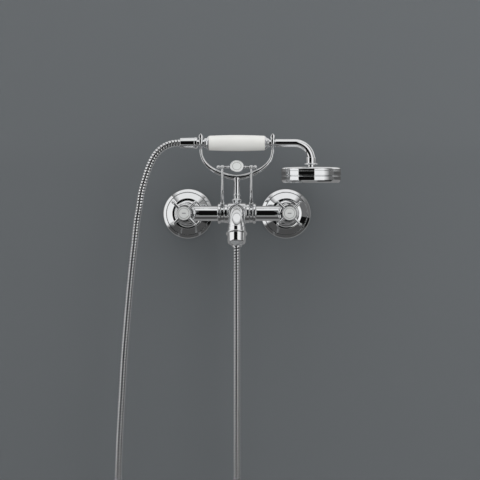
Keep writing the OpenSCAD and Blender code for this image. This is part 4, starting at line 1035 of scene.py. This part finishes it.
class MIXER_OT_rosettes(bpy.types.Operator):
    """Turns the two wall rosettes and the union nuts in front of them"""

    bl_idname = "mixer.rosettes"
    bl_label = "Rosettes and nuts"

    WALL = 1.6

    def execute(self, context):
        for name, side in (("hot", -1), ("cold", 1)):
            place = at_inlet(side)
            dress(f"{name}_rosette", Shape().turned(self.rosette(), place))
            dress(f"{name}_union_nut", self.nut(place))
        return {"FINISHED"}

    def rosette(self):
        sweep_at = (ROSETTE_NECK_R + ROSETTE_SWEEP_R, DOME_TOP + ROSETTE_SWEEP_R)
        groove = ROSETTE_GROOVE_R
        shoulder = ROSETTE_NECK_R + ROSETTE_SWEEP_R + 0.7
        return [
            (ROSETTE_BORE_R, ROSETTE_H, 0.3), (ROSETTE_NECK_R, ROSETTE_H, 0.6),
            *arc(sweep_at, ROSETTE_SWEEP_R, 180, 266, 14),
            (shoulder, DOME_TOP, 1.6), (groove - 0.8, DOME_FOOT, 0.5), (groove - 0.8, DOME_FOOT - 1, 0.1),
            (groove, DOME_FOOT - 1, 0.1), (groove, DOME_FOOT - 0.4, 0.3), (ROSETTE_R - 1, 2.4, 1.0),
            (ROSETTE_R, 1.4, 0.7), (ROSETTE_R, 0, 0.1), (ROSETTE_R - self.WALL, 0, 0.1),
            (ROSETTE_R - self.WALL, 1), (groove - 1, DOME_FOOT - 1 - self.WALL),
            (shoulder, DOME_TOP - self.WALL), (ROSETTE_BORE_R, DOME_TOP - self.WALL),
        ]

    def nut(self, place):
        rear, front = UNION_NUT_REAR, UNION_NUT_FRONT
        outside = hexagon(UNION_NUT_ACROSS, rear, front, run=0.3, rise=0.233, steps=6)
        profile = [(UNION_NUT_BORE_R, rear, 0), *outside, (UNION_NUT_BORE_R, front, 0)]
        return Shape().turned(profile, place, across=UNION_NUT_ACROSS)


class MIXER_OT_body(bpy.types.Operator):
    """Turns the body: both arms with their housings and the centre drum with its bosses"""

    bl_idname = "mixer.body"
    bl_label = "Body"

    def execute(self, context):
        dress("hot_arm", self.arm(-1))
        dress("cold_arm", self.arm(1))
        dress("centre_body", self.centre())
        return {"FINISHED"}

    def arm(self, side):
        shape = Shape()
        shape.turned([
            (0, TAIL_FACE), (TAIL_FLANGE_R, TAIL_FACE), (TAIL_FLANGE_R, TAIL_FACE + 2.5),
            (TAIL_R, TAIL_FACE + 2.5, 0.5), (TAIL_R, HOUSING_REAR, 0.6), (HOUSING_R, HOUSING_REAR, 2.6),
            (HOUSING_R, HOUSING_FACE, 2.2), (0, HOUSING_FACE),
        ], at_inlet(side))
        shape.turned([
            (0, JOURNAL_END), (JOURNAL_R, JOURNAL_END), (JOURNAL_R, FLANGE_INNER, 0.2),
            (FLANGE_R, FLANGE_INNER, 0.9), (FLANGE_R, FLANGE_OUTER, 1.3), (TUBE_R, FLANGE_OUTER, 0.8),
            (TUBE_R, INLET_X), (0, INLET_X),
        ], along_tube(side))
        return shape

    def centre(self):
        shape = Shape()
        groove = DRUM_HALF - 4.6
        end_r = DRUM_R - 1.6
        half = [
            (DRUM_R, groove - 1.8, 1.2), (DRUM_R - 0.6, groove - 0.6, 0.5), (end_r - 0.8, groove, 0.4),
            (end_r, groove + 0.7, 0.5), (end_r, DRUM_HALF, 0.8), (0, DRUM_HALF),
        ]
        shape.turned([(r, -x, *rest) for r, x, *rest in half[::-1]] + half, along_tube(1))
        shape.turned([(0, 0), (BOSS_R, 0), (BOSS_R, BOSS_OUT, 0.5), (0, BOSS_OUT)], AT_BODY @ OUT_OF_WALL)
        shape.turned([
            (0, 0), (OUTLET_BOSS_R, 0), (OUTLET_BOSS_R, OUTLET_BOSS_L, 0.9), (0, OUTLET_BOSS_L),
        ], AT_BODY @ DOWN)
        return shape


class MIXER_OT_handles(bpy.types.Operator):
    """Turns the bonnets, the cross handles and their index plates"""

    bl_idname = "mixer.handles"
    bl_label = "Handles"

    LINE_R = 7.5
    LINE_W = 0.5
    BAR_W = 5.6
    BAR_H = 1.1

    def execute(self, context):
        for name, side in (("hot", -1), ("cold", 1)):
            place = at_inlet(side)
            dress(f"{name}_bonnet", self.bonnet(place))
            dress(f"{name}_handle", self.handle(place))
            dress(f"{name}_index_plate", self.plate(place))
            dress(f"{name}_index_plate", self.mark(place), "mark")
        return {"FINISHED"}

    def bonnet(self, place):
        low, top, bore = HOUSING_FACE, BONNET_FACE, 7.4
        return Shape().turned([
            (bore, low + 3), (BONNET_R - 1.6, low), (BONNET_R, low, 0.7), (BONNET_R, low + 3.4, 0.6),
            (BONNET_R - 0.9, low + 3.9, 0.2), (BONNET_R - 0.9, low + 5, 1.0),
            (BONNET_R - 1.2, top - 3.4, 0.5), (HUB_R - 0.6, top - 3.2, 0.2), (HUB_R - 0.6, top, 0.3),
            (bore, top, 0.2),
        ], place)

    def handle(self, place):
        shape = Shape()
        waist = HUB_R - 1.6
        rim = INDEX_R + 0.1
        shape.turned([
            (0, HUB_REAR), (HUB_R - 0.6, HUB_REAR, 0.9), (HUB_R - 0.6, HUB_REAR + 3, 0.5),
            (waist, HUB_REAR + 4.4, 1.2), (waist, SPOKE_DEPTH - 4, 1.0),
            (HUB_R - 0.8, SPOKE_DEPTH - 2.6, 0.8), (HUB_R - 0.8, SPOKE_DEPTH + 2.6, 0.8),
            (waist, SPOKE_DEPTH + 4, 1.0), (waist, HUB_FACE - 4.4, 1.2), (HUB_R, HUB_FACE - 2.8, 0.7),
            (HUB_R, HUB_FACE, 0.55), (rim, HUB_FACE, 0.15), (rim, INDEX_SEAT, 0), (0, INDEX_SEAT),
        ], place)
        for k in range(SPOKE_COUNT):
            angle = 180 / SPOKE_COUNT + 360 * k / SPOKE_COUNT
            self.spoke(shape, place @ turn(angle, "Z") @ shift(0, 0, SPOKE_DEPTH) @ ALONG_X)
        return shape

    def spoke(self, shape, place):
        r = SPOKE_R
        ball = r + 0.2
        root = HUB_R - 1.2
        shape.turned([
            (0, root - 1.5), (r + 0.25, root - 1.5), (r + 0.25, root, 0.2), (r + 0.6, root, 0.4),
            (r + 0.6, root + 1.8, 0.6), (r + 0.15, root + 1.8, 0.3),
            (r - 0.2, SPOKE_REACH - 2 * ball - 0.2, 0.5),
            *arc((0, SPOKE_REACH - ball), ball, -52, 84, 22), (0, SPOKE_REACH),
        ], place)

    def plate(self, place):
        face = HUB_FACE - 0.2
        outer, inner = self.LINE_R, self.LINE_R - self.LINE_W
        return Shape().turned([
            (0, INDEX_SEAT), (INDEX_R, INDEX_SEAT), (INDEX_R, face - 0.5, 0.3), (outer, face - 0.15, 0.1),
            (outer, face - 0.4, 0), (inner, face - 0.4, 0), (inner, face - 0.15, 0.1),
            (outer / 2, face - 0.03, 4), (0, face),
        ], place)

    def mark(self, place):
        face = HUB_FACE - 0.2
        outer, inner = self.LINE_R, self.LINE_R - self.LINE_W
        shape = painted_ring(Shape(), inner, outer, face - 0.38, place)
        path = [Vector((0, 0, face - 0.15)), Vector((0, 0, face + 0.03))]
        return shape.swept(path, [(self.BAR_W / 2, self.BAR_H / 2)] * 2, place, (1, 0, 0), squareness=5)


class MIXER_OT_spout(bpy.types.Operator):
    """Bends the spout and turns its root ring and aerator housing"""

    bl_idname = "mixer.spout"
    bl_label = "Spout"

    BEND_STEPS = 48
    STRAIGHT = 14

    def execute(self, context):
        dress("spout", self.spout())
        dress("aerator_housing", self.housing())
        return {"FINISHED"}

    def spout(self):
        shape = Shape()
        path = [Vector((0, -BOSS_OUT, 0)), Vector((0, -BOSS_OUT - self.STRAIGHT, 0))]
        for i in range(self.BEND_STEPS + 1):
            a = SPOUT_BEND * i / self.BEND_STEPS
            path.append(Vector((
                0, -SPOUT_RUN - SPOUT_BEND_R * math.sin(a), -SPOUT_BEND_R * (1 - math.cos(a)),
            )))
        halves = [(SPOUT_R, SPOUT_R)] * len(path)
        shape.swept(path, halves, AT_BODY, (1, 0, 0), sides=shape.sizes.turn_segments)
        ring_r = 13.5
        shape.turned([
            (0, BOSS_OUT), (ring_r, BOSS_OUT, 0.6), (ring_r, BOSS_OUT + 2.6, 0.9),
            (SPOUT_R - 0.5, BOSS_OUT + 2.6), (0, BOSS_OUT + 2.6),
        ], AT_BODY @ OUT_OF_WALL)
        tip_r = 12.5
        shape.turned([
            (0, -SPOUT_TIP_T), (tip_r, -SPOUT_TIP_T, 0.3), (tip_r, 0.6, 0.8), (SPOUT_R - 0.5, 0.9), (0, 0.9),
        ], AT_SPOUT_TIP)
        return shape

    def housing(self):
        top = -SPOUT_TIP_T - 0.1
        low = top - AERATOR_L
        lip = AERATOR_BORE_R - 1.4
        return Shape().turned([
            (AERATOR_BORE_R, top), (AERATOR_FLANGE_R, top, 0.7), (AERATOR_FLANGE_R, top - 1.7, 0.7),
            (AERATOR_R, top - 2.4, 0.4), (AERATOR_R, top - 3.6, 2.0), (AERATOR_R - 0.6, low, 1.5),
            (lip, low, 0.7), (lip, low + 1.6, 0.2), (AERATOR_BORE_R, low + 1.6),
        ], AT_SPOUT_TIP)


class MIXER_OT_bail(bpy.types.Operator):
    """Makes the diverter bail: collars, bowed rods, cross bar and knob"""

    bl_idname = "mixer.bail"
    bl_label = "Diverter bail"

    ROD_STEPS = 40
    BOSS_NECK = 15.9
    LINE_SHARE = 0.74
    LINE_W = 0.5

    def execute(self, context):
        for name, side in (("left", -1), ("right", 1)):
            dress(f"{name}_collar", self.collar(side))
            dress(f"{name}_rod", self.rod(side))
        dress("cross_bar", self.bar())
        dress("knob", self.knob())
        dress("knob_plate", self.plate())
        dress("knob_plate", self.line(), "line")
        return {"FINISHED"}

    def collar(self, side):
        shape = Shape()
        middle = (COLLAR_INNER + COLLAR_OUTER) / 2
        shape.turned([
            (JOURNAL_R + 0.05, COLLAR_INNER), (COLLAR_R, COLLAR_INNER, 1.0), (COLLAR_R, COLLAR_OUTER, 1.0),
            (JOURNAL_R + 0.05, COLLAR_OUTER),
        ], along_tube(side))
        peg_r, boss_r, neck = 2.3, ROD_FOOT_R + 0.8, self.BOSS_NECK
        shape.turned([
            (0, JOURNAL_R + 1), (peg_r, JOURNAL_R + 1), (peg_r, neck, 0.2), (boss_r, neck + 0.4, 0.3),
            (boss_r, ROD_START, 0.5), (0, ROD_START),
        ], AT_BODY @ shift(side * middle, 0, 0) @ Matrix.Rotation(ROD_LEAN, 4, "X"))
        return shape

    def rod(self, side):
        start = Vector((0, -ROD_START * math.sin(ROD_LEAN), ROD_START * math.cos(ROD_LEAN)))
        path = [start * 0.9]
        for i in range(self.ROD_STEPS + 1):
            a = ROD_LEAN - (ROD_LEAN + ROD_TOP_LEAN) * i / self.ROD_STEPS
            path.append(start + ROD_BOW_R * Vector((
                0, math.cos(ROD_LEAN) - math.cos(a), math.sin(ROD_LEAN) - math.sin(a),
            )))
        radii = [ROD_FOOT_R] + [
            ROD_FOOT_R + (ROD_TOP_R - ROD_FOOT_R) * i / self.ROD_STEPS for i in range(self.ROD_STEPS + 1)
        ]
        return Shape().swept(
            path, [(r, r) for r in radii], AT_BODY @ shift(side * ROD_X, 0, 0), (1, 0, 0), sides=32,
        )

    def bar(self):
        shape = Shape()
        along = AT_BAR @ ALONG_X
        end = BAR_HALF - 2
        shape.turned([(0, -end), (BAR_R, -end), (BAR_R, end), (0, end)], along)
        for side in (-1, 1):
            shape.ball((0, 0, side * ROD_X), ROD_BALL_R, along)
            shape.ball((0, 0, side * (BAR_HALF - END_BALL_R)), END_BALL_R, along)
            shape.ball((0, 0, side * (KNOB_R + 2.4)), BAR_R + 0.7, along)
            ring = side * (KNOB_R + 5.4)
            shape.turned([
                (0, ring - 0.5), (BAR_R + 0.6, ring - 0.5, 0.3), (BAR_R + 0.6, ring + 0.5, 0.3),
                (0, ring + 0.5),
            ], along)
        return shape

    def knob(self):
        back, face = KNOB_OFF - KNOB_T / 2, KNOB_OFF + KNOB_T / 2
        rim = KNOB_R - 1.1
        boss_r = BAR_R + 1.8
        shape = Shape()
        shape.turned([
            (0, back), (KNOB_R - 1.6, back, 0.6), (KNOB_R, KNOB_OFF, 0.9), (KNOB_R, face, 0.5),
            (rim, face, 0.15), (rim, face - 0.9, 0), (0, face - 0.9),
        ], AT_KNOB)
        shape.turned([
            (0, -boss_r), (boss_r, -boss_r, 0.8), (boss_r, back, 0.3), (0, back + 0.1),
        ], AT_KNOB)
        return shape

    def plate(self):
        face = KNOB_OFF + KNOB_T / 2
        r = KNOB_R - 1.2
        line = r * self.LINE_SHARE
        inner = line - self.LINE_W
        return Shape().turned([
            (0, face - 0.9), (r, face - 0.9), (r, face - 0.25, 0.2), (line, face - 0.05, 0.1),
            (line, face - 0.3, 0), (inner, face - 0.3, 0), (inner, face - 0.05, 0.1),
            (line / 2, face + 0.02, 4), (0, face + 0.04),
        ], AT_KNOB)

    def line(self):
        face = KNOB_OFF + KNOB_T / 2
        line = (KNOB_R - 1.2) * self.LINE_SHARE
        return painted_ring(Shape(), line - self.LINE_W, line, face - 0.28, AT_KNOB)


class MIXER_OT_cradle(bpy.types.Operator):
    """Makes the column, its foot, the U-shaped cradle and the two forks"""

    bl_idname = "mixer.cradle"
    bl_label = "Cradle"

    CURVE_STEPS = 120
    FORK_STEPS = 28
    # Height of a prong above the hand shower's axis as a share, and share of its greatest half width
    LEAF = [
        (1.0, 0.1), (0.97, 0.28), (0.9, 0.55), (0.84, 0.77), (0.78, 0.92), (0.7, 1.0), (0.63, 0.97),
        (0.57, 0.88), (0.5, 0.74), (0.45, 0.68), (0.38, 0.72), (0.33, 0.82), (0.28, 0.9), (0.2, 0.94),
        (0.1, 0.89),
    ]

    def execute(self, context):
        dress("column_foot", self.foot())
        dress("column", self.column())
        dress("cradle", self.cradle())
        dress("left_fork", self.fork(-1))
        dress("right_fork", self.fork(1))
        return {"FINISHED"}

    def foot(self):
        s, top = FOOT_SEAT, FOOT_TOP
        return Shape().turned([
            (0, s - 2), (4.0, s - 2), (4.2, s + 0.6, 1.5), (7.2, s + 6.4, 0.6), (7.5, s + 7, 0.4),
            (7.2, s + 7.6, 0.4), (5.6, s + 8, 0.3), (5.4, s + 8.8, 0.4), (4.3, s + 9.6, 0.5),
            (4.3, top - 3.4, 0.5), (5.2, top - 2.6, 0.6), (5.2, top - 0.6, 0.6), (4.4, top, 0.3), (0, top),
        ], AT_COLUMN)

    def column(self):
        flare = COLUMN_R + 0.7
        return Shape().turned([
            (0, FOOT_TOP - 0.5), (COLUMN_R, FOOT_TOP - 0.5), (COLUMN_R, CRADLE_LOW - 6, 4),
            (flare, CRADLE_LOW - 3, 2), (flare, CRADLE_LOW, 0.4), (0, CRADLE_LOW),
        ], AT_COLUMN)

    def cradle(self):
        rise = ARM_RISE - ARM_STRAIGHT
        path = [Vector((-FORK_X, 0, ARM_RISE))]
        for i in range(self.CURVE_STEPS + 1):
            a = -math.pi / 2 + math.pi * i / self.CURVE_STEPS
            dip = CRADLE_DIP * math.cos(a) ** 16
            path.append(Vector((FORK_X * math.sin(a), 0, rise * (1 - math.cos(a)) - dip)))
        path.append(Vector((FORK_X, 0, ARM_RISE)))
        radii = [ARM_FOOT_R + (ARM_TOP_R - ARM_FOOT_R) * (p.x / FORK_X) ** 2 for p in path]
        return Shape().swept(
            path, [(r, r) for r in radii], AT_COLUMN @ shift(0, 0, CRADLE_HEIGHT), (0, 1, 0), sides=40,
        )

    def fork(self, side):
        place = AT_COLUMN @ shift(side * FORK_X, 0, HANDSET_HEIGHT)
        prong = [
            (
                Vector((0, FORK_MID_R, PRONG_RISE * rise)),
                PRONG_HALF_W * width, PRONG_HALF_T * min(1, 0.25 + width),
            )
            for rise, width in self.LEAF
        ]
        bowl = []
        for i in range(self.FORK_STEPS + 1):
            a = math.pi * i / self.FORK_STEPS
            low = math.sin(a)
            bowl.append((
                Vector((0, FORK_MID_R * math.cos(a), -FORK_MID_R * low)),
                PRONG_HALF_W * (0.8 - 0.3 * low), PRONG_HALF_T,
            ))
        back = [(Vector((0, -p.y, p.z)), w, t) for p, w, t in prong[::-1]]
        whole = prong + bowl + back
        shape = Shape().swept(
            [p for p, _, _ in whole], [(w, t) for _, w, t in whole], place, (1, 0, 0), sides=40,
        )
        low = ARM_TOP - HANDSET_HEIGHT
        waist = ARM_TOP_R - 0.6
        shape.turned([
            (0, low), (ARM_TOP_R, low, 0.3), (waist, low + 0.6, 0.3), (waist, -FORK_OUTER_R, 0.4),
            (ARM_TOP_R, -FORK_MID_R), (0, -FORK_MID_R),
        ], place)
        return shape


class MIXER_OT_hand_shower(bpy.types.Operator):
    """Makes the hand shower: tube, grip, ferrules, collar and head"""

    bl_idname = "mixer.hand_shower"
    bl_label = "Hand shower"

    BEND_STEPS = 40
    GRIP_STEPS = 24
    # Drop from the ferrule's radius, distance from the grip and rounding, down each ferrule's cone and beads
    HOSE_BEADS = [
        (2.4, 2.4, 1.6), (3, 3.6, 0.3), (3.6, 3.9, 0.2), (3, 4.4, 0.4), (3, 5.8, 0.5), (3.8, 6.6, 0.4),
    ]
    HEAD_BEADS = [(2.4, 2.8, 0.6), (3, 3.2, 0.2), (2.6, 3.8, 0.4), (4, 6.4, 0.8)]

    def execute(self, context):
        dress("handset_tube", self.tube())
        dress("grip", self.grip())
        dress("hose_ferrule", self.ferrule(self.HOSE_BEADS, 0.4, AT_HANDSET @ turn(-90, "Y")))
        dress("head_ferrule", self.ferrule(self.HEAD_BEADS, 0.3, AT_HANDSET @ ALONG_X))
        dress("head_collar", self.collar())
        dress("head_shell", self.head())
        return {"FINISHED"}

    def tube(self):
        shape = Shape()
        shape.turned([
            (0, -NECK_END), (NECK_R, -NECK_END), (NECK_R, STEM_START, 0.2), (STEM_R, STEM_START, 0.9),
            (STEM_R, STEM_START + 4), (0, STEM_START + 4),
        ], AT_HANDSET @ ALONG_X)
        bend_x = HEAD_X - STEM_BEND_R
        path = [Vector((STEM_START + 2, 0, 0)), Vector(((STEM_START + bend_x) / 2, 0, 0))]
        for i in range(self.BEND_STEPS + 1):
            a = math.pi / 2 * i / self.BEND_STEPS
            path.append(Vector((
                bend_x + STEM_BEND_R * math.sin(a), 0, -STEM_BEND_R * (1 - math.cos(a)),
            )))
        return shape.swept(path, [(STEM_R, STEM_R)] * len(path), AT_HANDSET, (0, 1, 0), sides=64)

    def grip(self):
        swell = GRIP_MID_R - GRIP_END_R
        barrel = []
        for i in range(self.GRIP_STEPS + 1):
            x = -GRIP_HALF + 0.5 + (2 * GRIP_HALF - 1) * i / self.GRIP_STEPS
            barrel.append((GRIP_MID_R - swell * (x / GRIP_HALF) ** 2, x, 0))
        start, end = barrel[0], barrel[-1]
        barrel[0] = (start[0], -GRIP_HALF, 0.9)
        barrel[-1] = (end[0], GRIP_HALF, 0.9)
        bore = NECK_R + 0.1
        return Shape().turned(
            [(bore, -GRIP_HALF, 0.3), *barrel, (bore, GRIP_HALF, 0.3)], AT_HANDSET @ ALONG_X,
        )

    def ferrule(self, beads, lip, place):
        g, r, bore = GRIP_HALF, FERRULE_R, NECK_R + 0.1
        return Shape().turned([
            (bore, g), (r, g, 0.2), (r, g + 0.7, 0.4),
            *[(r - drop, g + along, rounding) for drop, along, rounding in beads],
            (bore + lip, g + FERRULE_L, 0.2), (bore, g + FERRULE_L),
        ], place)

    def collar(self):
        top, flange = STEM_BEND_R - COLLAR_LAP, HEAD_TOP - 4.4
        r, flange_r, neck_r = 6.7, 9.85, 5.5
        return Shape().turned([
            (STEM_R - 0.4, top + 0.3), (r, top, 0.5), (r, flange - 0.6, 0.5), (flange_r, flange, 0.5),
            (flange_r, flange + 1.4, 0.6), (neck_r, flange + 1.4, 0.5), (neck_r, HEAD_TOP + 0.8),
            (STEM_R - 2.5, HEAD_TOP + 0.8), (STEM_R - 2.5, STEM_BEND_R), (STEM_R - 0.4, STEM_BEND_R),
        ], AT_HEAD)

    def head(self):
        r, top, low = HEAD_R, HEAD_TOP, HEAD_BOTTOM
        line_a, line_b = top + 6, top + 13.4
        plate = SPRAY_PLATE_R
        seat = low - 4.0
        inner, bore = r - 3.2, 5.6
        return Shape().turned([
            (bore, top), (r - 12, top + 0.5, 30), (r - 3.4, top + 1.2, 4), (r - 0.6, top + 2.2, 1.2),
            (r, top + 3.6, 1.0), (r, line_a - 0.55, 0.15), (r - 0.5, line_a, 0.1), (r, line_a + 0.55, 0.15),
            (r, line_b - 1.0, 0.3), (r - 1.4, line_b - 0.5, 0.4), (r - 1.4, line_b + 0.5, 0.4),
            (r, line_b + 1.0, 0.3), (r, low - 4, 2.5), (r - 1, low - 1.6, 1.5), (r - 2.6, low - 0.3, 1.0),
            (r - 3.6, low, 0.6), (plate, low - 0.6, 0.3), (plate, seat, 0), (plate - 1.6, seat, 0),
            (plate - 1.6, seat - 1.4, 0), (inner, seat - 2.6, 0), (inner, top + 4.8, 0),
            (bore, top + 3.2, 0),
        ], AT_HEAD)


class MIXER_OT_hose_ends(bpy.types.Operator):
    """Turns the two cone nuts of the hose and the nipple under the body"""

    bl_idname = "mixer.hose_ends"
    bl_label = "Hose ends"

    def execute(self, context):
        open_end = AT_HANDSET @ shift(-HOSE_NUT_OPEN_X, 0, 0) @ turn(-90, "Y")
        dress("handset_hose_nut", self.nut(open_end))
        dress("outlet_hose_nut", self.nut(AT_BODY @ DOWN @ shift(0, 0, OUTLET_NUT_OPEN)))
        dress("hose_outlet", self.nipple())
        return {"FINISHED"}

    def nut(self, place):
        r, tip, length = HOSE_NUT_R, HOSE_NUT_TIP_R, HOSE_NUT_L
        bore, shoulder, socket = 6.1, 14, length - HOSE_SOCKET
        return Shape().turned([
            (bore, 0, 0.3), (r, 0, 0.6), (r, 3.5, 0.3), (r - 0.45, 3.8, 0.1), (r - 0.45, 4.6, 0.2),
            (r - 0.4, 4.8, 0.2), (tip, length, 0.9), (HOSE_R + 0.1, length, 0.3), (HOSE_R + 0.1, socket),
            (HOSE_BORE_R, socket), (HOSE_BORE_R, shoulder), (bore, shoulder),
        ], place)

    def nipple(self):
        top, low = OUTLET_BOSS_L, OUTLET_BOSS_L + 4
        bore, plug, thread = 4, 6.8, 6.0
        return Shape().turned([
            (bore, top - 5, 0), (plug, top - 5, 0), (plug, top, 0),
            *hexagon(OUTLET_HEX_ACROSS, top, low, run=0.2, rise=0.12, steps=5),
            (thread, low, 0), (thread, low + 13, 0), (bore, low + 13, 0),
        ], AT_BODY @ DOWN, across=OUTLET_HEX_ACROSS)


class MIXER_OT_inner_finishes(bpy.types.Operator):
    """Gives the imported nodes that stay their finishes"""

    bl_idname = "mixer.inner_finishes"
    bl_label = "Inner finishes"

    def execute(self, context):
        for name, node in frame["nodes"].items():
            node.data.materials.clear()
            node.data.materials.append(finish_of(name))
        return {"FINISHED"}


class MIXER_PT_panel(bpy.types.Panel):
    """Lists the pieces of the mixer and their sizes"""

    bl_idname = "MIXER_PT_panel"
    bl_label = "Bath Shower Mixer"
    bl_space_type = "VIEW_3D"
    bl_region_type = "UI"
    bl_category = "Mixer"

    def draw(self, context):
        for operator in OPERATORS:
            self.layout.operator(operator.bl_idname)
        for name, group in GROUPS.items():
            column = self.layout.box().column()
            for title in group.__annotations__:
                column.prop(getattr(context.scene, name), title)


OPERATORS = (
    MIXER_OT_stage,
    MIXER_OT_hose,
    MIXER_OT_rosettes,
    MIXER_OT_body,
    MIXER_OT_handles,
    MIXER_OT_spout,
    MIXER_OT_bail,
    MIXER_OT_cradle,
    MIXER_OT_hand_shower,
    MIXER_OT_hose_ends,
    MIXER_OT_inner_finishes,
)
GROUPS = {"mixer_sizes": MixerSizes, "mixer_finishes": MixerFinishes, "mixer_stage": MixerStage}
CLASSES = (*GROUPS.values(), *OPERATORS, MIXER_PT_panel)


def register():
    for cls in CLASSES:
        bpy.utils.register_class(cls)
    for name, group in GROUPS.items():
        setattr(bpy.types.Scene, name, PointerProperty(type=group))


def unregister():
    for name in GROUPS:
        delattr(bpy.types.Scene, name)
    for cls in reversed(CLASSES):
        bpy.utils.unregister_class(cls)


def main():
    register()
    bpy.ops.mixer.stage()
    bpy.ops.mixer.hose()
    bpy.ops.mixer.rosettes()
    bpy.ops.mixer.body()
    bpy.ops.mixer.handles()
    bpy.ops.mixer.spout()
    bpy.ops.mixer.bail()
    bpy.ops.mixer.cradle()
    bpy.ops.mixer.hand_shower()
    bpy.ops.mixer.hose_ends()
    bpy.ops.mixer.inner_finishes()


if __name__ == "__main__":
    main()
